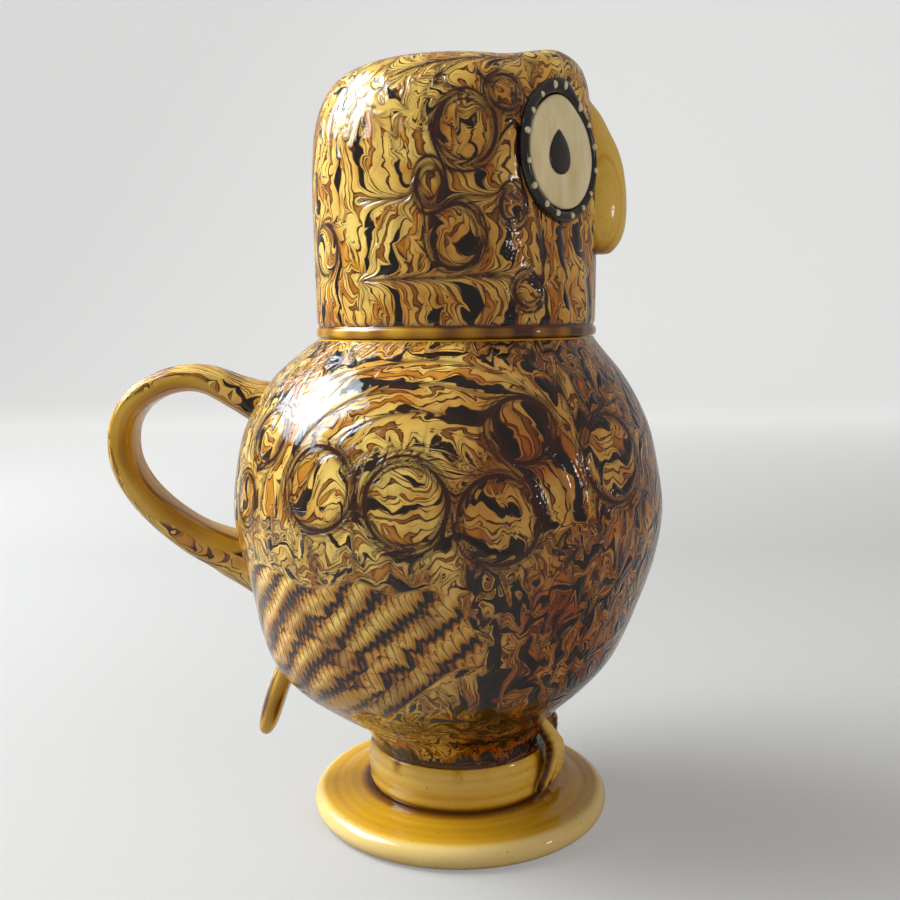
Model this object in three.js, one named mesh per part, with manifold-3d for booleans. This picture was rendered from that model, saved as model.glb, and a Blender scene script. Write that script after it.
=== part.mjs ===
// Owl pitcher: a thrown slipware jug on a pedestal foot, with a lift-off head that is its cup.
// Millimetres, +Z up. The origin is on the jug's axis, on the flat underside of the foot.
// The owl looks along -Y; its handle and tail are at +Y; its right side is at -X.
import * as THREE from 'three';
import { mergeVertices } from 'three/addons/utils/BufferGeometryUtils.js';
import Module from 'manifold-3d';

const wasm = await Module();
wasm.setup();

// Clay joints and running gaps
const luteGap = 0.3;          // slip joint between two pieces that are pressed together
const headSeatGap = 0.3;      // under the loose head, where it stands on the ledge
const neckClearance = 1.2;    // all round the neck, inside the loose head
const cutOverrun = 8;         // how far a pulled piece is sunk before its seat is cut

// Foot
const footRadius = 46;
const footEdge = 7.2;         // thickness of the disc at its rounded edge
const footRise = 2.3;         // how much the top climbs from the edge to the collar
const footGroove = 0.7;       // throwing groove round the collar's seat
const collarRadius = 28.8;
const collarSwell = 1.1;      // how far the collar bellies out past its two ends
const collarHeight = 12.4;

// Jug body
const bodyRadius = 64.9;
const bodyHeight = 125.3;     // from the collar to the ledge that the head stands on
const bodyWall = 5;
const bodyFloor = 7;
const bodyLeanBack = 5.6;     // how far the soft belly has slumped towards the handle
const ledgeRadius = 41.5;
const neckRadius = 36.3;
const neckWall = 4;
const neckHeight = 18;

// Head, which is also the cup
const headWall = 4.1;
const headSwell = 0.5;        // the side bellies out this far above the rim
const headSideHeight = 36.8;  // from the rim to where the dome springs
const domeHeight = 40.6;
const rimBead = 0.4;
const rimBeadHeight = 3.2;
const facePress = 4.2;        // depth of the two flats that the palms press into the front
const flatCurve = 200;        // radius of the faint bulge that is left across each flat
const pressSoftness = 1.2;    // how softly a flat runs out into the round side
const pressStart = 12;        // heights above the rim between which the flats begin
const pressFull = 34;
const browRise = 5.2;         // the ridge pinched up over the eyes
const browReach = 1.4;        // how far the same pinch drew it forward

// Eyes
const eyeRise = 49.6;         // the centre of the eye above the rim, measured up the wall
const eyeRadius = 14.6;
const eyeThickness = 1.3;
const ringWidth = 2.8;
const ringThickness = 1.5;
const beadRadius = 0.95;
const beadHeight = 0.8;
const beadCount = 16;
const pupilHeight = 11.8;
const pupilWidth = 9.6;
const pupilThickness = 0.7;
const pupilOffset = 2.5;      // off the centre of the eye, to the owl's side

// Beak
const beakTop = 71;           // heights above the head's rim
const beakBottom = 23.8;
const beakReach = 8.9;        // how far it stands out past the head's side
const beakWidth = 17;

// Handle
const handleReach = 102.2;    // from the jug's axis to the middle of the strap
const handleWidth = 17;
const handleThickness = 7.8;

// Tail
const tailLength = 30.5;
const tailWidth = 15;
const tailThickness = 6.5;

// Feet
const toeWidth = 3.9;
const toeThickness = 3.9;
const toeArch = 2.1;          // how far the bent toes stand off the collar
const clawRise = 8.5;         // how far up the body the feet are pressed

// Directions, in radians from the front of the owl
const degree = Math.PI / 180;
const faceAngle = 40 * degree;        // where each pressed flat, and the eye on it, looks
const browFullAngle = 30 * degree;
const browEndAngle = 66 * degree;
const footAngle = 28 * degree;        // where the middle toe's tip lies
const toeSpread = 10.5 * degree;      // from each toe's tip to the next
const tailSlant = 20 * degree;        // off the plumb line, towards the back

// Round shapes: how many flats stand for a full turn
const bodySteps = 40;
const headSteps = 44;
const outlineSteps = 24;
const domeSteps = 11;

// Curves of the dome: how square its side and its top are
const domeSideExponent = 5.2;
const domeTopExponent = 3.4;

// Places worked out from the sizes above
const footTop = footEdge + footRise;
const bodySeat = footTop + collarHeight;
const ledgeTop = bodySeat + bodyHeight;
const headSeat = ledgeTop + headSeatGap;
const headRim = neckRadius + neckClearance + headWall;
const headRadius = headRim + headSwell;
const springLine = headSeat + headSideHeight;
const ringRadius = eyeRadius + luteGap + ringWidth;

// The body's outline, bottom to ledge: radius and height as shares of the body's own
const bodyOutlineShares = [
  [0.421, 0], [0.435, 0.035], [0.472, 0.068], [0.528, 0.092], [0.612, 0.128], [0.721, 0.177],
  [0.814, 0.237], [0.873, 0.31], [0.92, 0.395], [0.971, 0.492], [1, 0.589], [0.983, 0.686],
  [0.941, 0.783], [0.877, 0.855], [0.798, 0.916], [0.704, 0.965],
];
// How the slump towards the handle grows and fades: share of the lean, share of the height
const leanShares = [
  [0, 0], [0.2, 0.04], [0.5, 0.08], [0.85, 0.13], [0.97, 0.2], [0.8, 0.3], [0.52, 0.44], [0.52, 0.6],
  [0.56, 0.75], [0.45, 0.9], [0.2, 0.97], [0, 1],
];
// The handle's middle line: share of the bow past the belly, share of the body's height
const handleShares = [
  [-0.5, 0.82], [-0.2, 0.842], [0.03, 0.87], [0.27, 0.902], [0.474, 0.907], [0.68, 0.89],
  [0.866, 0.854], [0.973, 0.803], [1, 0.738], [0.954, 0.679], [0.83, 0.619], [0.649, 0.564],
  [0.43, 0.516], [0.204, 0.483], [0.05, 0.462], [-0.3, 0.43],
];
// The beak, bottom to top: height, reach and half width as shares of its own sizes
const beakShares = [
  [0, 0.3, 0.2], [0.012, 0.5, 0.45], [0.07, 0.77, 0.75], [0.15, 0.94, 0.95], [0.25, 1, 1],
  [0.35, 1, 0.95], [0.45, 0.95, 0.82], [0.55, 0.86, 0.68], [0.65, 0.69, 0.57], [0.75, 0.42, 0.5],
  [0.86, 0.1, 0.44], [1, -0.5, 0.32],
];

// A share that eases from 0 at the start to 1 at the end
function ease(value, start, end) {
  return THREE.MathUtils.smoothstep(value, start, end);
}

// Joins equal corners and drops the flat triangles at a pole, so that the skin closes
function closed(geometry) {
  geometry.deleteAttribute('normal');
  geometry.deleteAttribute('uv');
  const merged = mergeVertices(geometry);
  const corners = Array.from(merged.index.array);
  const kept = [];
  for (let i = 0; i < corners.length; i += 3) {
    const [a, b, c] = corners.slice(i, i + 3);
    if (a !== b && b !== c && c !== a) kept.push(a, b, c);
  }
  merged.setIndex(kept);
  merged.computeVertexNormals();
  return merged;
}

// Turns an outline of (radius, height) about the Z axis; it runs upwards on its outer side
function turned(outline, steps) {
  const lathe = new THREE.LatheGeometry(outline, steps);
  lathe.rotateX(Math.PI / 2);
  return closed(lathe);
}

// Moves every corner of a shape by a rule
function reshaped(geometry, rule) {
  const places = geometry.attributes.position;
  const point = new THREE.Vector3();
  for (let i = 0; i < places.count; i += 1) {
    point.fromBufferAttribute(places, i);
    const moved = rule(point);
    places.setXYZ(i, moved.x, moved.y, moved.z);
  }
  geometry.computeVertexNormals();
  return geometry;
}

// Skins a row of rings that have the same number of points, and closes both ends
function lofted(rings) {
  const around = rings[0].length;
  const centres = [rings[0], rings.at(-1)].map((ring) => {
    const sum = ring.reduce((total, point) => total.add(point), new THREE.Vector3());
    return sum.divideScalar(around);
  });
  const points = [...rings.flat(), ...centres];
  const first = rings.length * around;
  const index = [];
  for (let i = 0; i < around; i += 1) {
    const next = (i + 1) % around;
    for (let row = 0; row < rings.length - 1; row += 1) {
      const low = row * around;
      const high = low + around;
      index.push(low + i, low + next, high + next, low + i, high + next, high + i);
    }
    const last = first - around;
    index.push(first, next, i, first + 1, last + i, last + next);
  }
  const geometry = new THREE.BufferGeometry().setFromPoints(points);
  geometry.setIndex(index);
  return closed(geometry);
}

// A pulled strap: rounded sections carried along a path, each with its own width and thickness
function pulled(path, side, steps, around, sizeAt) {
  const rings = [];
  for (let row = 0; row <= steps; row += 1) {
    const share = row / steps;
    const centre = path.getPointAt(share);
    const along = path.getTangentAt(share);
    const out = new THREE.Vector3().crossVectors(along, side).normalize();
    const across = new THREE.Vector3().crossVectors(out, along).normalize();
    const [width, thickness] = sizeAt(share);
    const ring = [];
    for (let i = 0; i < around; i += 1) {
      const turn = 2 * Math.PI * i / around;
      const wide = Math.sign(Math.cos(turn)) * Math.abs(Math.cos(turn)) ** strapSquareness;
      const thick = Math.sign(Math.sin(turn)) * Math.abs(Math.sin(turn)) ** strapSquareness;
      const point = centre.clone();
      point.addScaledVector(across, wide * width / 2);
      point.addScaledVector(out, thick * thickness / 2);
      ring.push(point);
    }
    rings.push(ring);
  }
  return lofted(rings);
}
const strapSquareness = 0.75;

// Booleans
function asManifold(geometry) {
  return new wasm.Manifold(new wasm.Mesh({
    numProp: 3,
    vertProperties: new Float32Array(geometry.attributes.position.array),
    triVerts: new Uint32Array(geometry.index.array),
  }));
}

function asGeometry(manifold) {
  const mesh = manifold.getMesh();
  const geometry = new THREE.BufferGeometry();
  geometry.setAttribute('position', new THREE.BufferAttribute(mesh.vertProperties, 3));
  geometry.setIndex(new THREE.BufferAttribute(mesh.triVerts, 1));
  geometry.computeVertexNormals();
  return geometry;
}

function cutBy(geometry, ...cutters) {
  const whole = asManifold(geometry);
  return asGeometry(cutters.reduce((rest, cutter) => rest.subtract(cutter), whole));
}

// Jug body: its outline, its slump, and the same form grown by a joint gap to cut its neighbours
function bodyCurve() {
  const points = bodyOutlineShares.map(([out, up]) => (
    new THREE.Vector2(bodyRadius * out, bodySeat + bodyHeight * up)));
  points.push(new THREE.Vector2(ledgeRadius, ledgeTop - bodyWall * ledgeRoundShare));
  return new THREE.SplineCurve(points);
}
const ledgeRoundShare = 0.1;

const bodyPoints = bodyCurve().getSpacedPoints(outlineSteps);

function offsetOutline(distance) {
  const curve = bodyCurve();
  return bodyPoints.map((point, i) => {
    const along = curve.getTangentAt(i / outlineSteps);
    return new THREE.Vector2(point.x + along.y * distance, point.y - along.x * distance);
  });
}

const leanCurve = new THREE.SplineCurve(
  leanShares.map(([lean, up]) => new THREE.Vector2(lean, up))).getSpacedPoints(4 * outlineSteps);

function interpolated(points, up) {
  const above = points.findIndex((point) => point.y >= up);
  if (above <= 0) return above === 0 ? points[0].x : points.at(-1).x;
  const [low, high] = [points[above - 1], points[above]];
  return THREE.MathUtils.mapLinear(up, low.y, high.y, low.x, high.x);
}

function bodyLean(height) {
  return bodyLeanBack * interpolated(leanCurve, (height - bodySeat) / bodyHeight);
}

function leaned(geometry) {
  return reshaped(geometry, (point) => point.setY(point.y + bodyLean(point.z)));
}

// A point on the body's skin, by its turn from the front and its height
function onBody(angle, height, lift) {
  const radius = interpolated(bodyPoints, height) + lift;
  const back = bodyLean(height) - radius * Math.cos(angle);
  return new THREE.Vector3(radius * Math.sin(angle), back, height);
}

function makeJugBody() {
  const neckTop = ledgeTop + neckHeight;
  const neckInside = neckRadius - neckWall;
  const lip = neckWall / 2;
  const outside = [new THREE.Vector2(0, bodySeat), ...bodyPoints];
  const ledge = [
    new THREE.Vector2(ledgeRadius - bodyWall * ledgeRoundShare, ledgeTop),
    new THREE.Vector2(neckRadius, ledgeTop),
    new THREE.Vector2(neckRadius, neckTop - lip),
  ];
  const lipPoints = [];
  for (let step = 1; step <= lipSteps; step += 1) {
    const turn = Math.PI * step / lipSteps;
    lipPoints.push(new THREE.Vector2(
      neckRadius - lip + lip * Math.cos(turn), neckTop - lip + lip * Math.sin(turn)));
  }
  const floor = bodySeat + bodyFloor;
  const inside = offsetOutline(-bodyWall).filter((point) => (
    point.x > neckInside && point.y > floor + bodyWall / 2 && point.y < ledgeTop - bodyWall));
  const inner = inside.filter((point, i) => i % 2 === 0).reverse();
  const lowest = inner.at(-1);
  const bottom = [
    new THREE.Vector2(lowest.x - bodyWall, floor + bodyWall * floorCoveShare),
    new THREE.Vector2(lowest.x - 2 * bodyWall, floor),
    new THREE.Vector2(0, floor),
  ];
  const root = new THREE.Vector2(neckInside, ledgeTop - bodyWall);
  return leaned(turned([...outside, ...ledge, ...lipPoints, root, ...inner, ...bottom], bodySteps));
}
const lipSteps = 6;
const floorCoveShare = 0.3;

function grownBody() {
  const skin = offsetOutline(luteGap);
  const outline = [new THREE.Vector2(0, skin[0].y), ...skin, new THREE.Vector2(0, skin.at(-1).y)];
  return asManifold(leaned(turned(outline, bodySteps)));
}

// Foot: a flat thrown disc with a half-round edge, and the low collar that carries the body
function makeFootDisc(gap = 0) {
  const edge = footEdge / 2;
  const outline = [new THREE.Vector2(0, -gap)];
  for (let turn = -90; turn <= 90; turn += 30) {
    outline.push(new THREE.Vector2(
      footRadius - edge + (edge + gap) * Math.cos(turn * degree),
      edge + (edge + gap) * Math.sin(turn * degree)));
  }
  const seatEdge = collarRadius + collarSwell;
  outline.push(new THREE.Vector2((footRadius + seatEdge) / 2, footEdge + footRise * discCrownShare + gap));
  outline.push(new THREE.Vector2(seatEdge + footGroove, footTop - footGroove + gap));
  outline.push(new THREE.Vector2(collarRadius - collarSwell, footTop + gap));
  outline.push(new THREE.Vector2(0, footTop + gap));
  return turned(outline, bodySteps);
}
const discCrownShare = 1 / 3;

function makeCollar(gap = 0) {
  const end = collarRadius - collarSwell;
  const outline = [new THREE.Vector2(0, footTop)];
  collarLevelShares.forEach((share) => outline.push(new THREE.Vector2(
    end + collarSwell * Math.sin(Math.PI * share) + gap,
    footTop + collarHeight * share)));
  outline.push(new THREE.Vector2(0, bodySeat));
  return turned(outline, bodySteps);
}
const collarLevelShares = [0, 0.2, 0.5, 0.8, 1];

// Handle: a strap pulled from a lump, pressed to the shoulder and bowed down to the belly
function makeHandle(body) {
  const bow = handleReach - bodyRadius;
  const points = handleShares.map(([out, up]) => (
    new THREE.Vector3(0, bodyRadius + bow * out, bodySeat + bodyHeight * up)));
  const path = new THREE.CatmullRomCurve3(points);
  const sizeAt = (share) => {
    const root = Math.abs(2 * share - 1) ** handleRootPower;
    const low = ease(share, handleLowShares[0], handleLowShares[1]);
    return [
      handleWidth * (1 + handleSpreadShare * root),
      handleThickness * (1 + handleHeavyShare * low + handleSmearShare * root),
    ];
  };
  const strap = pulled(path, new THREE.Vector3(1, 0, 0), handleSteps, handleSides, sizeAt);
  return cutBy(strap, body);
}
const handleRootPower = 5;
const handleSpreadShare = 0.6;        // how much wider the two roots are pressed out
const handleSmearShare = 2;           // how much thicker they are smeared up and down the body
const handleHeavyShare = 0.25;        // how much heavier the strap is in its lower half
const handleLowShares = [0.5, 0.85];
const handleSteps = 36;
const handleSides = 12;

// Tail: a short flat lug pulled down from under the belly
function makeTail(body) {
  const rootHeight = bodySeat + bodyHeight * tailRootShare;
  const root = onBody(Math.PI, rootHeight, -tailThickness);
  const down = new THREE.Vector3(0, Math.sin(tailSlant), -Math.cos(tailSlant));
  const start = root.clone().addScaledVector(down, -cutOverrun);
  const tip = root.clone().addScaledVector(down, tailLength);
  const middle = root.clone().addScaledVector(down, tailLength / 2);
  middle.y += tailThickness * tailBendShare;
  const path = new THREE.CatmullRomCurve3([start, root, middle, tip]);
  const sizeAt = (share) => {
    const end = Math.sqrt(Math.max(1 - share ** tailTipPower, tailEndShare));
    return [tailWidth * end, tailThickness * end];
  };
  return cutBy(pulled(path, new THREE.Vector3(1, 0, 0), tailSteps, handleSides, sizeAt), body);
}
const tailRootShare = 0.235;
const tailBendShare = 0.1;
const tailTipPower = 9;
const tailEndShare = 0.08;
const tailSteps = 12;

// Feet: three bent toes on a common root, lying over the collar with their tips on the disc
function makeToe(side, spread) {
  const out = collarRadius + luteGap + toeThickness / 2;
  const at = (share, radius, height) => {
    const middle = footAngle * THREE.MathUtils.lerp(toeRootShare, 1, share);
    const angle = side * middle + spread * toeSpread * share;
    return new THREE.Vector3(radius * Math.sin(angle), -radius * Math.cos(angle), height);
  };
  const bends = toeBendShares.map(([share, arch, drop]) => (
    at(share, out + toeArch * arch, bodySeat - collarHeight * drop)));
  const root = onBody(side * footAngle * toeRootShare, bodySeat + clawRise, -toeThickness / 2);
  const tip = at(1, out, footTop + luteGap + toeThickness * toeTipShare);
  const path = new THREE.CatmullRomCurve3([root, ...bends, tip]);
  const across = new THREE.Vector3(Math.cos(side * footAngle), Math.sin(side * footAngle), 0);
  const sizeAt = (share) => {
    const end = Math.sqrt(1 - toeTaperShare * share ** toeTaperPower);
    return [toeWidth * end, toeThickness * end];
  };
  return asManifold(pulled(path, across, toeSteps, toeSides, sizeAt));
}
const toeRootShare = 0.8;             // the root's share of the foot's turn from the front
// Each bend of a toe: share of its spread, share of its arch, share of the collar's height it has come down
const toeBendShares = [[0.3, 0.75, -0.17], [0.62, 1, 0.27], [0.88, 0.55, 0.66]];
const toeTipShare = 0.3;
const toeTaperShare = 0.8;
const toeTaperPower = 4;
const toeSteps = 9;
const toeSides = 8;

function makeFoot(side, cutters) {
  const toes = [-1, 0, 1].map((spread) => makeToe(side, spread));
  const foot = toes.reduce((joined, toe) => joined.add(toe));
  return asGeometry(cutters.reduce((rest, cutter) => rest.subtract(cutter), foot));
}

// Head: a thrown cup, upside down, with two flats pressed into its front and a brow pinched up
function headOutline(grow) {
  const bead = rimBeadShares.map(([out, up]) => (
    new THREE.Vector2(headRim + rimBead * out + grow, headSeat + rimBeadHeight * up)));
  return [...bead, ...sideOutline(grow), ...domeOutline(headRadius + grow, domeHeight + grow)];
}
// The rim bead from below: how far out, and share of its height
const rimBeadShares = [[-1, 0], [0.5, 0.33], [0, 0.8], [-1, 1]];

// The nearly upright side, from above the rim bead to where the dome springs
function sideOutline(grow) {
  const points = [];
  for (let row = 0; row < sideRows; row += 1) {
    const share = row / sideRows;
    const rise = THREE.MathUtils.lerp(rimBeadHeight * sideStartShare, headSideHeight, share);
    points.push(new THREE.Vector2(headRim + headSwell * share + grow, headSeat + rise));
  }
  return points;
}
const sideStartShare = 1.5;
const sideRows = 6;

function domeOutline(radius, rise) {
  const points = [];
  for (let row = 0; row < domeSteps; row += 1) {
    const turn = (Math.PI / 2) * (row / domeSteps);
    points.push(new THREE.Vector2(
      radius * Math.cos(turn) ** (2 / domeSideExponent),
      springLine + rise * Math.sin(turn) ** (2 / domeTopExponent)));
  }
  points.push(new THREE.Vector2(0, springLine + rise));
  return points;
}

// How far the palms push the wall in: each flat is a shallow arc that runs out into the round side
function pressAt(angle, height) {
  const turn = Math.abs(angle) - faceAngle;
  const toCentre = flatCurve - (headRadius - facePress);
  const flat = Math.sqrt(flatCurve ** 2 - (toCentre * Math.sin(turn)) ** 2) - toCentre * Math.cos(turn);
  const inside = Math.cos(turn) > 0 ? headRadius - flat : -headRadius;
  const pushed = (inside + Math.hypot(inside, pressSoftness)) / 2;
  const low = ease(height - headSeat, pressStart, pressFull);
  const high = 1 - ease((height - springLine) / domeHeight, pressEndShares[0], pressEndShares[1]);
  return pushed * low * high;
}
const pressEndShares = [0.66, 0.94];

// How fully the fingers pinch the wall into the brow: 1 at its crest
function browAt(angle, radius, height) {
  const around = 1 - ease(Math.abs(angle), browFullAngle, browEndAngle);
  const out = ease(radius / headRadius, browRadiusShares[0], browRadiusShares[1]);
  const up = ease((height - springLine) / domeHeight, browHeightShares[0], browHeightShares[1]);
  return around * out * up;
}
const browRadiusShares = [0.46, 0.88];
const browHeightShares = [0.58, 0.87];

function pressedHead(point) {
  const radius = Math.hypot(point.x, point.y);
  const angle = Math.atan2(point.x, -point.y);
  const pinch = browAt(angle, radius, point.z);
  const pushed = 1 + (browReach * pinch - pressAt(angle, point.z)) / headRadius;
  return new THREE.Vector3(point.x * pushed, point.y * pushed, point.z + browRise * pinch);
}

function makeHeadCup() {
  const outside = headOutline(0).reverse();
  const dome = domeOutline(headRadius - headWall, domeHeight - headWall);
  const inside = [...sideOutline(-headWall), ...dome];
  const lip = headRim - headWall;
  const rim = [new THREE.Vector2(lip + rimBead, headSeat), new THREE.Vector2(lip, headSeat + rimBead)];
  const outline = [...outside, ...rim, ...inside].reverse();
  return reshaped(turned(outline, headSteps), pressedHead);
}

function grownHead() {
  const outline = [new THREE.Vector2(0, headSeat), ...headOutline(luteGap)];
  return asManifold(reshaped(turned(outline, headSteps), pressedHead));
}

// A point on the head's skin: turn from the front, and distance up the wall from the rim
const headCurve = new THREE.SplineCurve(headOutline(0));
const headCurveLength = headCurve.getLength();

function onHead(angle, rise) {
  const share = THREE.MathUtils.clamp(rise / headCurveLength, 0, 1);
  const { x: radius, y: height } = headCurve.getPointAt(share);
  return pressedHead(new THREE.Vector3(radius * Math.sin(angle), -radius * Math.cos(angle), height));
}

// Lays a piece that was made flat (X across, Y up, Z off the clay) on the face, round one eye
function laidOnFace(geometry, side) {
  const toFlat = headRadius - facePress;
  const place = (across, up) => onHead(side * faceAngle + Math.atan2(across, toFlat), eyeRise + up);
  return reshaped(geometry, (point) => {
    const here = place(point.x, point.y);
    const right = place(point.x + luteGap, point.y).sub(here);
    const above = place(point.x, point.y + luteGap).sub(here);
    const off = new THREE.Vector3().crossVectors(right, above).normalize();
    return here.addScaledVector(off, point.z);
  });
}

function makeEyeDisc(side) {
  const front = luteGap + eyeThickness;
  const outline = [
    [0, luteGap], [eyeRadius / 2, luteGap], [eyeRadius, luteGap], [eyeRadius, luteGap + eyeThickness / 2],
    [eyeRadius - eyeThickness / 2, front], [eyeRadius / 2, front], [0, front],
  ].map(([radius, lift]) => new THREE.Vector2(radius, lift));
  return laidOnFace(turned(outline, eyeSteps), side);
}
const eyeSteps = 28;

function makeEyeRing(side) {
  const inner = eyeRadius + luteGap;
  const middle = inner + ringWidth / 2;
  const shoulder = luteGap + ringThickness * ringShoulderShare;
  const outline = [
    [inner, luteGap], [ringRadius, luteGap], [ringRadius, shoulder],
    [middle, luteGap + ringThickness], [inner, shoulder], [inner, luteGap],
  ].map(([radius, lift]) => new THREE.Vector2(radius, lift));
  return laidOnFace(turned(outline, eyeSteps), side);
}
const ringShoulderShare = 0.6;

// A slip dot on the crest of the ring
function makeBead(side, turn) {
  const seat = 2 * luteGap + ringThickness;
  const outline = beadOutlineShares.map(([out, up]) => (
    new THREE.Vector2(beadRadius * out, seat + beadHeight * up)));
  const bead = turned(outline, beadSteps);
  const crest = eyeRadius + luteGap + ringWidth / 2;
  bead.translate(crest * Math.cos(turn), crest * Math.sin(turn), 0);
  return laidOnFace(bead, side);
}
const beadOutlineShares = [[0, 0], [1, 0], [0.75, 0.7], [0, 1]];
const beadSteps = 8;

// The pupil: a round button drawn to a point at the top
function makePupil(side) {
  const seat = 2 * luteGap + eyeThickness;
  const outline = pupilOutlineShares.map(([out, up]) => new THREE.Vector2(out, seat + pupilThickness * up));
  const drop = reshaped(turned(outline, eyeSteps), (point) => {
    const fromTop = Math.atan2(Math.abs(point.x), point.y);
    const wide = point.x * Math.sin(fromTop / 2) / teardropWidestShare;
    const across = side * pupilOffset + wide * pupilWidth / 2;
    return new THREE.Vector3(across, point.y * pupilHeight / 2, point.z);
  });
  return laidOnFace(drop, side);
}
const pupilOutlineShares = [[0, 0], [0.5, 0], [1, 0], [0.9, 0.7], [0.5, 1], [0, 1]];
const teardropWidestShare = 0.77;

// Beak: a long soft lump that hangs from between the brows, cut to the head's curve
function makeBeak(head) {
  const rings = beakShares.map(([upShare, reachShare, wideShare]) => {
    const height = headSeat + THREE.MathUtils.lerp(beakBottom, beakTop, upShare);
    const sunk = beakSeatShare + beakSinkShare * ease(upShare, beakSinkStartShare, 1);
    const base = headRadius - headWall * sunk;
    const reach = headRadius + beakReach * reachShare - base;
    const ring = [];
    for (let i = 0; i < beakSides; i += 1) {
      const turn = 2 * Math.PI * i / beakSides;
      const y = -base - reach * Math.cos(turn);
      ring.push(new THREE.Vector3(beakWidth / 2 * wideShare * Math.sin(turn), y, height));
    }
    return ring;
  });
  return cutBy(lofted(rings), head);
}
const beakSeatShare = 0.5;            // how deep the beak's back lies in the head's wall, before it is cut
const beakSinkShare = 1.4;            // how much deeper its top lies, under the brow
const beakSinkStartShare = 0.65;
const beakSides = 16;

// Finishes: the colours that each clay and glaze shows
const finishes = {
  marbled: new THREE.MeshStandardMaterial({ color: 0x8a5a1c, roughness: 0.12, metalness: 0 }),
  honey: new THREE.MeshStandardMaterial({ color: 0xb9822a, roughness: 0.12, metalness: 0 }),
  cream: new THREE.MeshStandardMaterial({ color: 0xe0c78c, roughness: 0.14, metalness: 0 }),
  black: new THREE.MeshStandardMaterial({ color: 0x16110e, roughness: 0.12, metalness: 0 }),
};

function piece(name, geometry, finish) {
  const mesh = new THREE.Mesh(geometry, finishes[finish]);
  mesh.name = name;
  return mesh;
}

// The jug, with everything that is luted to it
const jug = new THREE.Group();
const bodyCutter = grownBody();
const footCutters = [bodyCutter, asManifold(makeCollar(luteGap)), asManifold(makeFootDisc(luteGap))];
jug.add(piece('foot_disc', makeFootDisc(), 'honey'));
jug.add(piece('foot_collar', makeCollar(), 'honey'));
jug.add(piece('jug_body', makeJugBody(), 'marbled'));
jug.add(piece('handle', makeHandle(bodyCutter), 'honey'));
jug.add(piece('tail', makeTail(bodyCutter), 'honey'));

// The head, which lifts off as the cup
const head = new THREE.Group();
head.add(piece('head_cup', makeHeadCup(), 'marbled'));
head.add(piece('beak', makeBeak(grownHead()), 'honey'));

for (const [sideName, side] of [['right', -1], ['left', 1]]) {
  jug.add(piece(`${sideName}_foot`, makeFoot(side, footCutters), 'honey'));
  head.add(piece(`${sideName}_eye_disc`, makeEyeDisc(side), 'cream'));
  head.add(piece(`${sideName}_eye_ring`, makeEyeRing(side), 'black'));
  head.add(piece(`${sideName}_pupil`, makePupil(side), 'black'));
  for (let i = 0; i < beadCount; i += 1) {
    const bead = makeBead(side, 2 * Math.PI * (i + 0.5) / beadCount);
    head.add(piece(`${sideName}_eye_bead_${i + 1}`, bead, 'cream'));
  }
}

const owlPitcher = new THREE.Group();
owlPitcher.add(jug, head);

export default owlPitcher;
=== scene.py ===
# %% [markdown]
# # A slipware owl pitcher
#
# The real jug was thrown on a wheel in buff clay. Its belly and its loose head, which is also the cup,
# were coated with cream slip, trailed with amber and black slip, and combed while all of it was wet.
# A lead glaze over the top turned it honey-coloured and very glossy.
#
# The frame holds the sizes: every piece below takes its place from the frame's own corners. What this
# lesson adds is the fine surface, the combed slip and the glaze.

import itertools
import math

import bpy
import numpy as np
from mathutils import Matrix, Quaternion, Vector


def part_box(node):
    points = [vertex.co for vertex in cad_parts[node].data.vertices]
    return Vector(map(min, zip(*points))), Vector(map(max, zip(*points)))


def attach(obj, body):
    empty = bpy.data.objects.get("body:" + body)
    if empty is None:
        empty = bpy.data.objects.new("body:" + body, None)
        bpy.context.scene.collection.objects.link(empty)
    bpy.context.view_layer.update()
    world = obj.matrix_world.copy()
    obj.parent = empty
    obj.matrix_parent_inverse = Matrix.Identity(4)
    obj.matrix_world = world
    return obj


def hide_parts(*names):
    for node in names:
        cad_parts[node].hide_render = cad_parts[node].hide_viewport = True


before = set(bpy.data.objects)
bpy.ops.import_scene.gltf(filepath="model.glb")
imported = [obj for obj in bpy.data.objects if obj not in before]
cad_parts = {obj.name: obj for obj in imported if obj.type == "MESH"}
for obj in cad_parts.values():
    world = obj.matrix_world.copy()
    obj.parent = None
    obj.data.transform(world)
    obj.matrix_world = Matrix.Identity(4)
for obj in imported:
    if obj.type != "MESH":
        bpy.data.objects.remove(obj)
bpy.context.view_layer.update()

# %% [markdown]
# ## Sizes
#
# Potters think in millimetres, so the shapes are worked out in millimetres and turned into metres only
# when they become meshes. Directions round the pot are turns from the front, where the owl looks:
# the owl's right side, which the camera sees, is at minus 90 degrees and the handle at 180.

# %% Read the sizes off the frame
mm = 0.001
degree = math.pi / 180
sides = (("right", -1), ("left", 1))


def corners(node):
    """Lowest and highest corner of a node of the frame, in millimetres."""
    low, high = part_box(node)
    return np.array(low) / mm, np.array(high) / mm


belly_radius = corners("jug_body")[1][0]
body_seat = corners("jug_body")[0][2]
head_seat = corners("head_cup")[0][2]
head_gap = 0.3
ledge_top = head_seat - head_gap
body_height = ledge_top - body_seat
neck_top = corners("jug_body")[1][2]
head_radius = corners("head_cup")[1][0]
foot_radius = corners("foot_disc")[1][0]
foot_top = corners("foot_disc")[1][2]
collar_widest = corners("foot_collar")[1][0]
print(f"belly {belly_radius:.1f}, seat {body_seat:.1f}, ledge {ledge_top:.1f}, head {head_radius:.1f} mm")

# %% [markdown]
# ## Lines and surfaces
#
# A thrown pot is a profile turned about an axis, and a pulled handle is a section carried along a path.
# Both are surfaces of two parameters, so each is one numpy array: rings by points by three coordinates.
# A spline through a few chosen points is enough for each profile, as a potter's rib would follow it.

# %% Curves


def ease(value, start, end):
    """Smooth step: t*t*(3 - 2t), where t is how far value has come from start to end, held in 0 to 1."""
    t = np.clip((value - start) / (end - start), 0, 1)
    return t * t * (3 - 2 * t)


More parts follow.
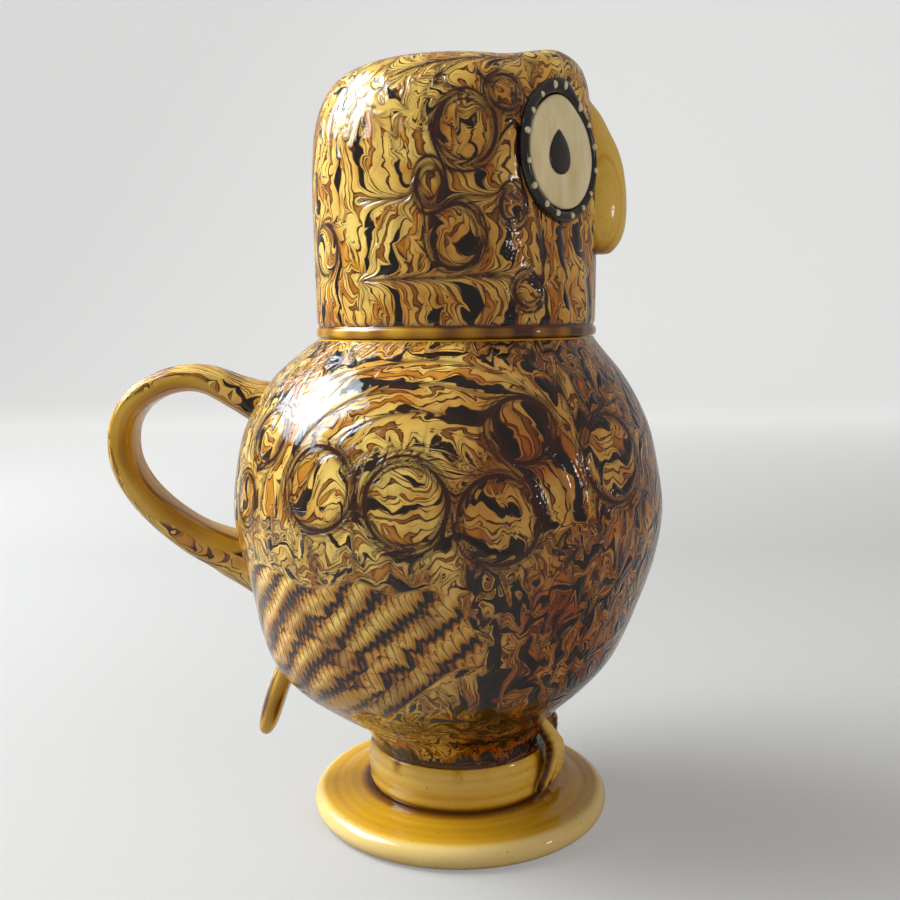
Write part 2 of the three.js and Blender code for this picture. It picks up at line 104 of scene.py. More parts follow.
def hill(value, middle, half):
    """A soft hill: exp(-((value - middle) / half)^2)."""
    return np.exp(-((value - middle) / half) ** 2)


def through(points, steps):
    """A smooth line through chosen points. Between two of them each coordinate is the cubic whose end
    slopes are half the chord between the neighbours on both sides."""
    chosen = np.asarray(points, float)
    at = np.linspace(0, len(chosen) - 1, steps)
    start = np.minimum(at.astype(int), len(chosen) - 2)
    t = (at - start)[:, None]
    before, here, after, beyond = (chosen[np.clip(start + k, 0, len(chosen) - 1)] for k in (-1, 0, 1, 2))
    bend = 2 * before - 5 * here + 4 * after - beyond
    twist = 3 * (here - after) + beyond - before
    return here + 0.5 * t * (after - before + t * (bend + t * twist))


def run_along(line):
    """Distance along a line from its first point, at each of its points."""
    steps = np.linalg.norm(np.diff(line, axis=0), axis=1)
    return np.concatenate([[0], np.cumsum(steps)])


def even(line, steps):
    """The same line with its points at equal distances along it."""
    run = run_along(line)
    at = np.linspace(0, run[-1], steps)
    return np.stack([np.interp(at, run, line[:, k]) for k in range(line.shape[1])], axis=1)


def straight(start, end, steps):
    """Evenly spaced points of a straight stretch."""
    return np.linspace(start, end, steps)


def arc(centre, radius, start, end, steps):
    """Points of a round corner: centre plus radius times the cosine and the sine of the turn."""
    turn = np.linspace(start, end, steps) * degree
    return np.stack([centre[0] + radius * np.cos(turn), centre[1] + radius * np.sin(turn)], axis=1)


def turned(profile, around):
    """A profile of radius and height turned about the axis: x is radius times the sine of the turn,
    y is minus radius times its cosine, so the front of the owl is at turn 0."""
    turn = np.linspace(-np.pi, np.pi, around, endpoint=False)
    radius, height = profile[:, :1], profile[:, 1:]
    level = np.broadcast_to(height, (len(profile), around))
    return np.stack([radius * np.sin(turn), -radius * np.cos(turn), level], axis=2)


def swept(path, side, width, thickness, squareness, around):
    """A strap: at each point of the path the section runs width/2 times a softened cosine along the
    sideways direction and thickness/2 times a softened sine along the direction square to both.
    Softened means that the cosine keeps its sign and its size is raised to the power squareness."""
    along = np.gradient(path, axis=0)
    out = np.cross(along, side)
    out /= np.linalg.norm(out, axis=1, keepdims=True)
    across = np.cross(out, along)
    across /= np.linalg.norm(across, axis=1, keepdims=True)
    turn = np.linspace(0, 2 * np.pi, around, endpoint=False)
    wide = np.sign(np.cos(turn)) * np.abs(np.cos(turn)) ** squareness
    thick = np.sign(np.sin(turn)) * np.abs(np.sin(turn)) ** squareness
    sideways = across[:, None] * (np.asarray(width)[:, None] * wide / 2)[:, :, None]
    outwards = out[:, None] * (np.asarray(thickness)[:, None] * thick / 2)[:, :, None]
    return path[:, None] + sideways + outwards


print("a round corner of three points:", arc((0, 0), 1, 0, 90, 3).round(2).tolist())

# %% [markdown]
# ## From rings to a mesh
#
# Rings skin into quads, and a fan of triangles closes each end, so every piece is one closed body. A
# profile that runs back into itself needs no fans: its last ring joins its first. The volume under the
# faces, summed with its sign, tells whether they face out; if the sum is negative each face is turned.

# %% Mesh maker


def skin_of(rings, looped):
    """Faces of one closed shell: quads between each ring and the next and, unless the rings loop, a fan
    at both ends. The two end centres come right after the rings' own vertices."""
    count, around = rings.shape[:2]
    here = np.arange(around)
    after = (here + 1) % around
    row = np.arange(count if looped else count - 1)[:, None] * around
    above = (row + around) % (count * around)
    quads = np.stack([row + here, row + after, above + after, above + here], axis=2).reshape(-1, 4)
    if looped:
        return quads, np.zeros((0, 3), int), np.zeros((0, 3), int)
    last = (count - 1) * around
    start_hub = np.full(around, count * around)
    start_fan = np.stack([start_hub, after, here], axis=1)
    end_fan = np.stack([start_hub + 1, last + here, last + after], axis=1)
    return quads, start_fan, end_fan


def volume_under(points, faces):
    """Six times the volume between the origin and the faces: the sum of a . (b x c) of the triangles."""
    a, b, c = (points[faces[:, k]] for k in range(3))
    total = np.einsum("ij,ij->", a, np.cross(b, c))
    if faces.shape[1] == 4:
        d = points[faces[:, 3]]
        total += np.einsum("ij,ij->", a, np.cross(c, d))
    return total


def facing_out(points, parts):
    """The three parts of a shell's skin, with each face turned round where the volume is negative."""
    if sum(volume_under(points, part) for part in parts if len(part)) < 0:
        return [part[:, ::-1] for part in parts]
    return parts


def with_hubs(values):
    """A row-by-point array laid flat, with the mean of its first and last rows added for the hubs."""
    around = values.shape[1]
    flat = values.reshape(values.shape[0] * around, -1)
    ends = [row.reshape(around, -1).mean(0) for row in (values[0], values[-1])]
    return np.concatenate([flat, ends])


# %% Pieces with their finishes


def laid_together(shells, facts, second_rows, looped):
    """The points, faces, finish numbers and facts of all shells, one after the other. A looped shell has
    no end fans, so it leaves out its hubs."""
    points, faces, finish_index, first = [], [], [], 0
    values = {key: [] for key in facts}
    for number, rings in enumerate(shells):
        around = rings.shape[1]
        own = with_hubs(rings)
        parts = facing_out(own, skin_of(rings, looped))
        quads, start_fan, end_fan = parts
        rows = np.zeros(len(quads) // around, int)
        if second_rows is not None and number == 0:
            rows = second_rows.astype(int)
        finish_index += np.repeat(rows, around).tolist()
        finish_index += [int(rows[0])] * len(start_fan) + [int(rows[-1])] * len(end_fan)
        for part in parts:
            faces += (part + first).tolist()
        kept = len(own) - (2 if looped else 0)
        for key in values:
            values[key].append(with_hubs(np.asarray(facts[key][number], float))[:kept])
        points.append(own[:kept])
        first += kept
    return np.concatenate(points), faces, finish_index, values


def make_piece(name, shells, body, stands_for, finishes, facts=None, second_rows=None,
               looped=False, normals=None):
    """One mesh object from one or more shells of rings, in millimetres. facts maps an attribute's name
    to one array per shell, with a value or a vector for each ring point. second_rows says which rows of
    quads of the first shell take the second finish. normals are the directions that the first shell's
    points face, where a cut edge must not show in the shading."""
    points, faces, finish_index, values = laid_together(shells, facts or {}, second_rows, looped)
    mesh = bpy.data.meshes.new(name)
    mesh.from_pydata((points * mm).tolist(), [], faces)
    for key, parts in values.items():
        joined = np.concatenate(parts).astype(np.float32)
        kind, field = ("FLOAT", "value") if joined.shape[1] == 1 else ("FLOAT_VECTOR", "vector")
        mesh.attributes.new(key, kind, "POINT").data.foreach_set(field, joined.ravel())
    mesh.polygons.foreach_set("use_smooth", np.ones(len(faces), bool))
    for finish in finishes:
        mesh.materials.append(finish)
    mesh.polygons.foreach_set("material_index", np.array(finish_index, np.int32))
    if normals is not None:
        facing = with_hubs(normals)[:len(mesh.vertices)]
        mesh.normals_split_custom_set_from_vertices(facing.tolist())
    mesh.update()
    piece = bpy.data.objects.new(name, mesh)
    bpy.context.scene.collection.objects.link(piece)
    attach(piece, body)
    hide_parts(*stands_for)
    print(f"{name}: {len(mesh.vertices)} vertices, {sum(len(face) - 2 for face in faces)} triangles")


unit_ring = turned(np.array([(1.0, 0.0), (1.0, 1.0)]), 64)
unit_volume = sum(volume_under(with_hubs(unit_ring), part) for part in skin_of(unit_ring, False)) / 6
print("a closed cylinder's volume, near pi:", round(abs(unit_volume), 3))

# %% [markdown]
# ## Wet slip and the comb
#
# Marbled slip is a story of strokes: bands are trailed round the pot, then a tine is drawn through them
# again and again, and each pass drags the colour with it. The drag dies away to both sides of the tine.
# Painting that would take a picture. Instead each vertex asks where its slip came from: the strokes are
# undone from the last to the first, and the answer is stored on the vertex as an attribute. The material
# then only has to colour plain bands at that older place.

# %% The wet coat
groove_width = 0.5
sharp_share = 0.8
faint_spread = 4


class Slip:
    """The wet coat on a thrown pot. turn, in radians, and level, in mm up the wall, say where each
    vertex's slip lay, groove says how deep a tine has cut there, loose how far the strokes that run all
    over the pot may move it, and calm where it lay straight. wall is the pot's outer line."""

    def __init__(self, turn, level, wall):
        self.turn = turn.copy()
        self.level = level.copy()
        self.groove = np.zeros_like(level)
        self.loose = np.ones_like(level)
        self.calm = np.zeros_like(level)
        self.wall = wall
        self.run = run_along(wall)

    def level_of(self, height):
        """The distance up the wall at a height."""
        return np.interp(height, self.wall[:, 1], self.run)

    def height(self):
        """The height of each vertex's slip."""
        return np.interp(self.level, self.run, self.wall[:, 1])

    def round_at(self, level):
        """The pot's radius, which is also the mm along the wall for one radian of turn."""
        return np.interp(level, self.run, self.wall[:, 0])

    def seen_from(self, turn, height):
        """Mm along the wall and mm up it from a spot, and the mm for one radian of turn."""
        start = self.level_of(height)
        each = (self.round_at(self.level) + self.round_at(start)) / 2
        away = np.mod(self.turn - turn * degree + np.pi, 2 * np.pi) - np.pi
        return away * each, self.level - start, each

    def from_front(self):
        """The turn from the front, in degrees, to either side."""
        return np.abs(np.mod(self.turn + np.pi, 2 * np.pi) - np.pi) / degree

    def move(self, across, rise, each):
        """Takes the slip back by the drag."""
        self.turn -= across / each
        self.level -= rise

    def cut(self, distance, width, depth):
        """Deepens the groove: a narrow hill beside the tine, and a faint one four times as wide."""
        sharp, faint = hill(distance, 0, width), hill(distance, 0, faint_spread * width)
        self.groove = np.maximum(self.groove, depth * (sharp_share * sharp + (1 - sharp_share) * faint))

    def comb_back(self, strokes):
        """Undoes the strokes from the last to the first."""
        for stroke in reversed(strokes):
            stroke(self)


def fading(distance, reach, tip):
    """The drag beside a tine: exp(-(root(d*d + w*w) - w) / reach), with w half the width of its tip."""
    return np.exp(-(np.sqrt(distance * distance + tip * tip) - tip) / reach)


print("drag 2 mm beside a tine that reaches 2 mm:", round(float(fading(np.array(2.0), 2, 0.5)), 2))

# %% Single strokes: a line and a ring
line_tip = 0.35
ring_tip = 0.5
ring_cut_width, ring_cut_depth = 1.3, 1.2
echo_cut_width, echo_balance = 0.7, 1.6
ring_steady, ring_uneven = 0.75, 0.25
arc_fade = 4


def line(start, end, pull, reach, bow=0.0, depth=0.7):
    """A stroke between two spots, each a turn in degrees and a height. bow, in mm, bends its middle."""

    def undo(slip):
        middle = [(a + b) / 2 for a, b in zip(start, end)]
        across, rise, each = slip.seen_from(*middle)
        level = slip.level_of(middle[1])
        chord = np.array([(end[0] - start[0]) * degree * slip.round_at(level),
                          slip.level_of(end[1]) - slip.level_of(start[1])])
        length = np.linalg.norm(chord)
        ahead, aside = chord / length
        forward = across * ahead + rise * aside
        beside = rise * ahead - across * aside - bow * (1 - (2 * forward / length) ** 2)
        within = 1 - ease(np.abs(forward), length / 2 - 2 * reach, length / 2 + 2 * reach)
        slip.cut(beside, groove_width, depth * within)
        drag = pull * fading(beside, reach, line_tip) * within
        slip.move(drag * ahead, drag * aside, each)

    return undo


def loop(turn, height, radius, pull, reach, tall=1.0, depth=0.9, lowest=None, echoes=()):
    """A stroke that runs round a ring. tall stretches the ring up the wall, and lowest, in mm from the
    ring's middle, cuts it to an arc. echoes are fainter lines beside it, each a distance and a depth. The
    groove's depth goes in two waves round the ring, from a place that the ring's own turn gives."""

    def undo(slip):
        across, rise, each = slip.seen_from(turn, height)
        within = 1 if lowest is None else ease(rise, lowest - arc_fade, lowest + arc_fade)
        rise = rise / tall
        out = np.hypot(across, rise)
        uneven = within * (ring_steady + ring_uneven * np.sin(2 * np.arctan2(rise, across) + turn))
        slip.cut(out - radius, ring_cut_width * groove_width, ring_cut_depth * depth * uneven)
        for beyond, share in echoes:
            echo = share * within * (echo_balance - uneven)
            slip.cut(out - radius - beyond, echo_cut_width * groove_width, echo)
        swing = within * pull / np.maximum(out, radius / 3) * fading(out - radius, reach, ring_tip)
        back_across = across * np.cos(swing) + rise * np.sin(swing)
        back_rise = rise * np.cos(swing) - across * np.sin(swing)
        slip.move(across - back_across, (rise - back_rise) * tall, each)

    return undo


# %% Strokes all over the pot
comb_tip = 0.3
comb_depth = 0.5
comb_weakest, comb_strongest = 0.4, 1.4
dab_depth = 0.6
dab_heading, dab_spread = 90.0, 45.0
dab_cut_width = 0.8
dab_rows = 64
drift_strengths = (1, 0.8, 0.6, 0.45, 0.35)


def upright_comb(spacing, pull, reach, seed):
    """Upright strokes all round the pot, by turns up and down, each with its own strength."""

    def undo(slip):
        count = 2 * round(np.pi * slip.wall[:, 0].max() / spacing)
        at = slip.turn / (2 * np.pi) * count
        tooth = np.round(at).astype(int)
        strength = np.random.default_rng(seed).uniform(comb_weakest, comb_strongest, count)[tooth % count]
        way = np.where(tooth % 2 == 0, 1.0, -1.0)
        each = slip.round_at(slip.level)
        beside = (at - tooth) * 2 * np.pi * each / count
        slip.cut(beside, groove_width, comb_depth * slip.loose)
        slip.move(0, pull * way * strength * fading(beside, reach, comb_tip) * slip.loose, each)

    return undo


def dabs(spacing, pull, reach, length, seed):
    """Small quick strokes all over, one in each cell of an uneven grid: each has its own place, strength,
    bow and heading, in degrees from the way round the pot. Every bit of slip feels the nine nearest."""

    def undo(slip):
        chance = np.random.default_rng(seed)
        columns = round(2 * np.pi * slip.wall[:, 0].max() / spacing)
        table = chance.random((dab_rows, columns, 5))
        each = slip.round_at(slip.level)
        column_at = slip.turn / (2 * np.pi) * columns
        row_at = slip.level / spacing
        column, row = np.floor(column_at).astype(int), np.floor(row_at).astype(int)
        cell_width = 2 * np.pi * each / columns
        across = np.zeros_like(slip.turn)
        rise = np.zeros_like(slip.turn)
        for beyond, above in itertools.product((-1, 0, 1), repeat=2):
            facts = table[(row + above) % dab_rows, (column + beyond) % columns]
            a = (column_at - column - beyond - facts[..., 0]) * cell_width
            b = (row_at - row - above - facts[..., 1]) * spacing
            way = (dab_heading + dab_spread * (2 * facts[..., 2] - 1)) * degree
            strength = np.where(facts[..., 3] < 0.5, -1, 1) * (0.5 + facts[..., 4])
            forward = a * np.cos(way) + b * np.sin(way)
            bow = (facts[..., 4] - 0.5) * length * 0.5
            beside = b * np.cos(way) - a * np.sin(way) - bow * (1 - (2 * forward / length) ** 2)
            within = slip.loose * (1 - ease(np.abs(forward), length / 2 - reach, length / 2 + reach))
            slip.cut(beside, dab_cut_width * groove_width, dab_depth * within * facts[..., 4])
            drag = pull * strength * fading(beside, reach, comb_tip) * within
            across += drag * np.cos(way)
            rise += drag * np.sin(way)
        slip.move(across, rise, each)

    return undo


def drift(size, wave, seed):
    """The slow unevenness of a hand-turned coat: a sum of sine waves of the place on the wall, each along
    its own direction, moves the slip by a few millimetres."""

    def undo(slip):
        chance = np.random.default_rng(seed)
        each = slip.round_at(slip.level)
        place = np.stack([each * np.sin(slip.turn), each * np.cos(slip.turn), slip.level], axis=-1)
        for strength in drift_strengths:
            wave_vector = chance.normal(size=3) / wave / strength
            shift = size * strength * np.sin(place @ wave_vector + chance.uniform(0, 2 * np.pi))
            push = chance.normal(size=2)
            slip.move(shift * push[0], shift * push[1], each)

    return undo


# %% Bands of slip
band_width = 10.5
smear_from, smear_full = 1.5, 1.98
smear_strength = 1.3


def banded(row):
    """The place within a band, as the cosine and the sine of a turn. Unlike the row itself, in mm, it has
    no jump where one design meets another: halfway between two designs it is their mean."""
    turn = 2 * np.pi * row / band_width
    return np.stack([np.cos(turn), np.sin(turn)], axis=-1)


def smeared(bands):
    """1 where the bands lie too close together to tell apart: there the slips mix into brown. It looks at
    the steps from vertex to vertex, round the pot and up it, and softens what it finds."""
    around_step = np.linalg.norm(bands - np.roll(bands, 1, axis=1), axis=2)
    around_step = np.maximum(around_step, np.roll(around_step, -1, axis=1))
    up_step = np.linalg.norm(np.diff(bands, axis=0, prepend=bands[:1]), axis=2)
    up_step = np.maximum(up_step, np.roll(up_step, -1, axis=0))
    mixed = ease(np.maximum(around_step, up_step), smear_from, smear_full)
    for _ in range(2):
        mixed = (np.roll(mixed, 1, axis=1) + 2 * mixed + np.roll(mixed, -1, axis=1)) / 4
        mixed[1:-1] = (mixed[:-2] + 2 * mixed[1:-1] + mixed[2:]) / 4
    return np.minimum(smear_strength * mixed, 1)


print("a quarter of a band as cosine and sine:", banded(band_width / 4).round(2).tolist())

# %% [markdown]
# ## Shader tools
#
# The glazes are worked out by nodes. Written out as links, even a plain formula takes a page, so one
# small class wraps a socket and lets Python's own operators add the Math nodes.

# %% Sockets as numbers


class Wire:
    """An output socket that adds, subtracts, multiplies and divides by way of Math nodes."""

    def __init__(self, nodes, socket):
        self.nodes = nodes
        self.socket = socket

    def maths(self, operation, first, second):
        """A Math node of the given operation on two values."""
        return self.nodes.node("ShaderNodeMath", {"operation": operation}, {0: first, 1: second})

    def __add__(self, other):
        return self.maths("ADD", self, other)

    def __radd__(self, other):
        return self.maths("ADD", other, self)

    def __sub__(self, other):
        return self.maths("SUBTRACT", self, other)

    def __rsub__(self, other):
        return self.maths("SUBTRACT", other, self)

    def __mul__(self, other):
        return self.maths("MULTIPLY", self, other)

    def __rmul__(self, other):
        return self.maths("MULTIPLY", other, self)

    def __truediv__(self, other):
        return self.maths("DIVIDE", self, other)

    def __abs__(self):
        return self.maths("ABSOLUTE", self, 0)

    def part(self):
        """What is left after the whole number is taken off."""
        return self.maths("FRACT", self, 0)

    def floor(self):
        """The whole number below."""
        return self.maths("FLOOR", self, 0)

    def exp(self):
        """e to the power of the value."""
        return self.maths("EXPONENT", self, 0)

    def held(self):
        """The value, held in 0 to 1."""
        return self.nodes.node("ShaderNodeClamp", {}, {"Value": self})


# %% Node trees


class Nodes:
    """The nodes of a material or of the world."""

    def __init__(self, tree):
        self.tree = tree

    def node(self, kind, settings, inputs, output=0):
        """Adds a node: its settings first, then the values or links of its sockets."""
        made = self.tree.nodes.new(kind)
        for key, value in settings.items():
            if key == "stops":
                self.set_stops(made.color_ramp, value)
            else:
                setattr(made, key, value)
        for key, value in inputs.items():
            self.give(made.inputs[key], value)
        return Wire(self, made.outputs[output])

    def set_stops(self, ramp, stops):
        """Puts the given places and colours on a colour ramp, whose own two stops become the outer ones."""
        first, last = ramp.elements[0], ramp.elements[-1]
        first.position, first.color = stops[0]
        last.position, last.color = stops[-1]
        for place, shown in stops[1:-1]:
            ramp.elements.new(place).color = shown

    def give(self, socket, value):
        """Links a wire to a socket, or sets a plain value on it."""
        if isinstance(value, Wire):
            self.tree.links.new(value.socket, socket)
        else:
            socket.default_value = value

    def fact(self, name, output):
        """A value that the mesh carries."""
        return self.node("ShaderNodeAttribute", {"attribute_name": name}, {}, output)

    def split(self, vector, axis):
        """One coordinate of a vector."""
        return self.node("ShaderNodeSeparateXYZ", {}, {"Vector": vector}, axis)

    def joined(self, x, y, z):
        """A vector from its coordinates."""
        return self.node("ShaderNodeCombineXYZ", {}, {"X": x, "Y": y, "Z": z})

    def noise(self, at, scale, detail=1.0):
        """Smooth noise about 0, from about -0.5 to 0.5."""
        inputs = {"Vector": at, "Scale": scale, "Detail": detail}
        return self.node("ShaderNodeTexNoise", {}, inputs, "Fac") - 0.5

    def blend(self, share, first, second, way="MIX"):
        """Mixes two colours."""
        settings = {"data_type": "RGBA", "blend_type": way}
        return self.node("ShaderNodeMix", settings, {0: share, 6: first, 7: second}, 2)

    def bump(self, height):
        """A normal from a height in metres."""
        inputs = {"Strength": 1.0, "Distance": 1.0, "Height": height}
        return self.node("ShaderNodeBump", {}, inputs, "Normal")

    def scaled(self, at, factors):
        """A vector with each coordinate times its own factor."""
        return self.node("ShaderNodeVectorMath", {"operation": "MULTIPLY"}, {0: at, 1: factors})

    def place(self):
        """Object coordinates, in metres."""
        return self.node("ShaderNodeTexCoord", {}, {}, "Object")

    def seen_rays(self, mirrored_share):
        """How much of the pale stage a ray shows: all of it to the camera, and the given share of it where
        a glaze mirrors it or glass lets it through. It lights nothing else."""
        camera_ray, mirror_ray, clear_ray = (
            self.node("ShaderNodeLightPath", {}, {}, f"Is {kind} Ray")
            for kind in ("Camera", "Glossy", "Transmission"))
        return (camera_ray + (mirror_ray + clear_ray) * mirrored_share).held()


class Glaze(Nodes):
    """A material whose constants sit on the shader's own sockets."""

    def __init__(self, name, constants):
        self.material = bpy.data.materials.new(name)
        self.material.use_nodes = True
        super().__init__(self.material.node_tree)
        self.shader = self.tree.nodes["Principled BSDF"]
        for socket, value in constants.items():
            self.shader.inputs[socket].default_value = value

    def feed(self, socket, value):
        """Gives a value or a wire to a socket of the shader."""
        self.give(self.shader.inputs[socket], value)


# %% Colours as light


def colour(red, green, blue):
    """A colour as a painter reads it, 0 to 255, turned into light: below 0.04 it is divided by 12.92,
    above that it is ((c + 0.055) / 1.055) to the power 2.4."""
    shares = np.array([red, green, blue]) / 255
    light = np.where(shares <= 0.04045, shares / 12.92, ((shares + 0.055) / 1.055) ** 2.4)
    return (*light.tolist(), 1.0)


print("mid grey as light:", round(colour(128, 128, 128)[0], 3))

# %% [markdown]
# ## The glazes
#
# One honey glaze covers the foot, the beak, the claws, the handle and the tail. Where it lies thin, on
# rims and edges, it is pale buff; where it pools it goes through amber to a dark brown. So each vertex
# carries the depth of its glaze, called pool, and a colour ramp turns that depth into a colour. On the
# belly and the head the pool also holds painted shade towards the owl's front and low on the belly, and
# painted light on the crown.

# %% Slip and glaze colours
pale_cream = colour(244, 204, 104)
cream = colour(230, 176, 66)
gold = colour(210, 144, 38)
amber = colour(184, 110, 22)
dark_amber = colour(142, 88, 20)
brown = colour(78, 38, 8)
red_brown = colour(58, 22, 6)
black = colour(20, 11, 6)
buff = colour(232, 202, 134)
olive = colour(176, 124, 40)
pale_honey = colour(220, 176, 70)
honey = colour(204, 152, 30)
deep_honey = colour(160, 106, 14)
print("the slips as light:", {"cream": cream[:3], "amber": amber[:3], "black": black[:3]})

# %% Honey glaze
glaze_ior = 1.52
honey_depths = [(0.0, buff), (0.3, pale_honey), (0.52, honey), (0.75, deep_honey), (1.0, brown)]
glaze_waves = ((75.0, 0.0003), (420.0, 0.00003))
cloud_depth, grain_depth = 0.16, 0.05
speck_from, speck_sharpness, speck_strength = 0.29, 25, 0.6
cloud_lift = 0.06


def honey_colour(glaze, pool):
    """The glaze's colour by its depth: buff where thin, honey, amber, and brown where it pools."""
    return glaze.node("ShaderNodeValToRGB", {"stops": honey_depths}, {"Fac": pool})


def ripple(glaze, relief, place):
    """The glaze's own soft unevenness, waves of a scale and a height in metres, over a relief in mm."""
    height = relief * mm
    for scale, metres in glaze_waves:
        height = height + glaze.noise(place, scale) * metres
    return glaze.bump(height)


def honey_glaze():
    """Plain honey glaze over buff clay, with a fine grain and iron specks."""
    glaze = Glaze("honey_glaze", {"IOR": glaze_ior})
    place = glaze.place()
    cloud = glaze.noise(place, 38.0, 3.0)
    grain = glaze.noise(place, 900.0)
    pool = glaze.split(glaze.fact("coat", "Vector"), "Y")
    pool = (pool + cloud * cloud_depth + grain * grain_depth).held()
    specks = ((glaze.noise(place, 1500.0, 0.0) - speck_from) * speck_sharpness).held()
    glaze.feed("Base Color", glaze.blend(specks * speck_strength, honey_colour(glaze, pool), brown))
    glaze.feed("Roughness", 0.1 + glaze.noise(place, 160.0, 2.0) * 0.08)
    glaze.feed("Normal", ripple(glaze, cloud * cloud_lift, place))
    return glaze.material


honey_finish = honey_glaze()
print("honey glaze:", len(honey_finish.node_tree.nodes), "nodes")

# %% [markdown]
# The marbled slip has three parts. Trails of black and amber lie side by side in bands 10.5 mm wide, and
# each swells and dies away, as slip does when it leaves the trailer. A needle then pulled small teeth
# across them, a new one every two or three millimetres, and longer ones about five apart. Each tooth is a
# cusp, so it is worked out at every pixel and not at the vertices. Last come the grooves, where the slips
# mixed into dark brown.

# %% The needle's teeth
tooth_step, tooth_height_scale, tooth_chance = 7.31, 70, 4
needle_half, needle_soft = 0.22, 0.16
wander_waves = ((60.0, 0.8), (190.0, 0.07))
wander_held_feathered, wander_held_calm = 0.35, 0.2
sway_scale, sway_reach = 45.0, 6
short_gap, short_pull, short_reach, short_seed = 2.5, 2.4, 0.75, 3.0
long_gap, long_pull, long_reach, long_seed = 5.3, 5.0, 1.5, 8.0
feather_lean = 4.2
few_short = 0.6


def teeth(glaze, phase, across, mark, spacing, pull, reach, seed, height):
    """Bands pulled into cusps: in a cell of the given spacing the pull is exp(-d / reach), brought to 0 at
    the cell's edge, times a chance strength of its own. Where the mark is 1, all pull alike, and where
    it is -1 they don't pull. The second result is the thin line that the needle leaves."""
    at = across / spacing
    away = abs(at.part() - 0.5) * spacing
    edge = math.exp(-spacing / 2 / reach)
    cusp = ((away * (-1 / reach)).exp() - edge) / (1 - edge)
    cell = glaze.joined(at.floor() * tooth_step, height * tooth_height_scale, seed)
    chance = glaze.noise(cell, 1.0) * tooth_chance
    strength = (chance + (1 - chance) * mark.held()) * (1 - (0 - mark).held())
    needle_line = ((needle_half - away) / needle_soft).held() * abs(strength)
    return phase + cusp * strength * (pull / band_width), needle_line


def needled(glaze, place, row, across, mark):
    """The place within the band, from 0 to 1, after a slow wander and both sets of teeth, and the lines
    that the needle left in each."""
    height = glaze.split(place, "Z")
    one_way = mark.held()
    slow, quick = (glaze.noise(place, scale) * size for scale, size in wander_waves)
    held_back = one_way * wander_held_feathered + (0 - mark).held() * wander_held_calm
    phase = row + (slow + quick) * (1 - held_back)
    swayed = across + glaze.noise(place, sway_scale) * sway_reach
    leaning = swayed - row * feather_lean * one_way
    phase, short_line = teeth(glaze, phase, leaning, mark - (1 - one_way) * few_short,
                              short_gap, short_pull, short_reach, short_seed, height)
    phase, long_line = teeth(glaze, phase, swayed + row * long_gap, mark - one_way,
                             long_gap, long_pull, long_reach, long_seed, height)
    return phase.part(), short_line, long_line


print("pull of a short tooth 1 mm off the needle:", round(short_pull * math.exp(-1 / short_reach), 2), "mm")

# %% Trails, hairlines and feathers
trail_swell = 3.4
trail_places = (0.2, 0.52, 0.83)
trail_halves = (1.7, 1.4, 1.05)
trail_shares = (0.26, 0.34, 0.28)
trail_scales = (112.0, 104.0, 137.0)
trail_shades = ((black, black), (amber, gold), (dark_amber, amber))
black_widens, black_lengthens = 1.4, 1.2
rim_out, rim_soft, slip_soft = 0.3, 0.12, 0.16
core_in, core_soft = 0.35, 0.3
trail_slope, trail_lift = 0.5, 0.03
hairlines = ((0.06, 120.0), (0.38, 150.0), (0.68, 130.0))
hair_half, hair_share, hair_soft, hair_strength = 0.36, 0.4, 0.12, 0.9
feather_stops = [
    (0.0, gold), (0.1, cream), (0.24, pale_cream), (0.36, pale_cream), (0.375, brown), (0.39, cream),
    (0.5, cream), (0.56, gold), (0.575, brown), (0.59, amber), (0.66, dark_amber), (0.69, red_brown),
    (0.73, black), (0.86, black), (0.89, red_brown), (0.94, dark_amber), (1.0, gold),
]


def trail(glaze, phase, place, middle, half, share, scale):
    """How far, in mm, a point lies inside a trail of slip. The trail runs along the middle of its part of
    the band, and its half width swells and dies away with a noise, so it ends in points."""
    swell = (glaze.noise(place, scale) * trail_swell + share).held()
    return swell * half - abs((phase - (middle - 0.5)).part() - 0.5) * band_width


def trailed(glaze, coat, phase, place, more):
    """The coat with its trails, each with a brown rim and a core of another shade, and their relief in mm.
    Where the pool is deeper, which on the belly and the head includes painted shade, and where the slip
    lies calm, the black trail is wider and longer."""
    halves = (trail_halves[0] + more * black_widens, *trail_halves[1:])
    shares = (trail_shares[0] + more * black_lengthens, *trail_shares[1:])
    relief = 0
    for middle, half, share, scale, (shade, core) in zip(
            trail_places, halves, shares, trail_scales, trail_shades):
        depth = trail(glaze, phase, place, middle, half, share, scale)
        coat = glaze.blend(((depth + rim_out) / rim_soft).held(), coat, brown)
        coat = glaze.blend((depth / slip_soft).held(), coat, shade)
        coat = glaze.blend(((depth - core_in) / core_soft).held(), coat, core)
        relief = (depth / trail_slope).held() * trail_lift + relief
    for middle, scale in hairlines:
        hair = trail(glaze, phase, place, middle, hair_half, hair_share, scale)
        coat = glaze.blend((hair / hair_soft).held() * hair_strength, coat, brown)
    return coat, relief


def feathered(glaze, phase, place):
    """The colours side by side in one feathered band, with darker clouds."""
    feathers = glaze.node("ShaderNodeValToRGB", {"stops": feather_stops}, {"Fac": phase})
    return glaze.blend((glaze.noise(place, 80.0) * 3).held(), feathers, dark_amber, "MULTIPLY")


print("a band holds", len(trail_places), "trails and", len(hairlines), "hairlines")

# %% Marbled slip
usual_pool = 0.44
calm_pool = 0.06
gold_from, olive_from, olive_strength = 0.32, 0.6, 1.6
short_line_strength, feathered_line_strength, long_line_strength = 0.5, 0.45, 0.6
groove_strength = 1.5
veil_strength, veil_ragged, veil_held = 1.5, 0.5, 0.25
rib_lift, side_rib_lift = 0.11, 0.19
needle_cut, groove_cut = 0.02, 0.05


def cream_ground(glaze, place, cloud):
    """The cream slip under the trails, paler and more golden in clouds."""
    ground = glaze.blend((0.35 + cloud * 2.6).held(), pale_cream, cream)
    return glaze.blend((glaze.noise(place, 130.0) * 5 - 0.3).held(), ground, gold)


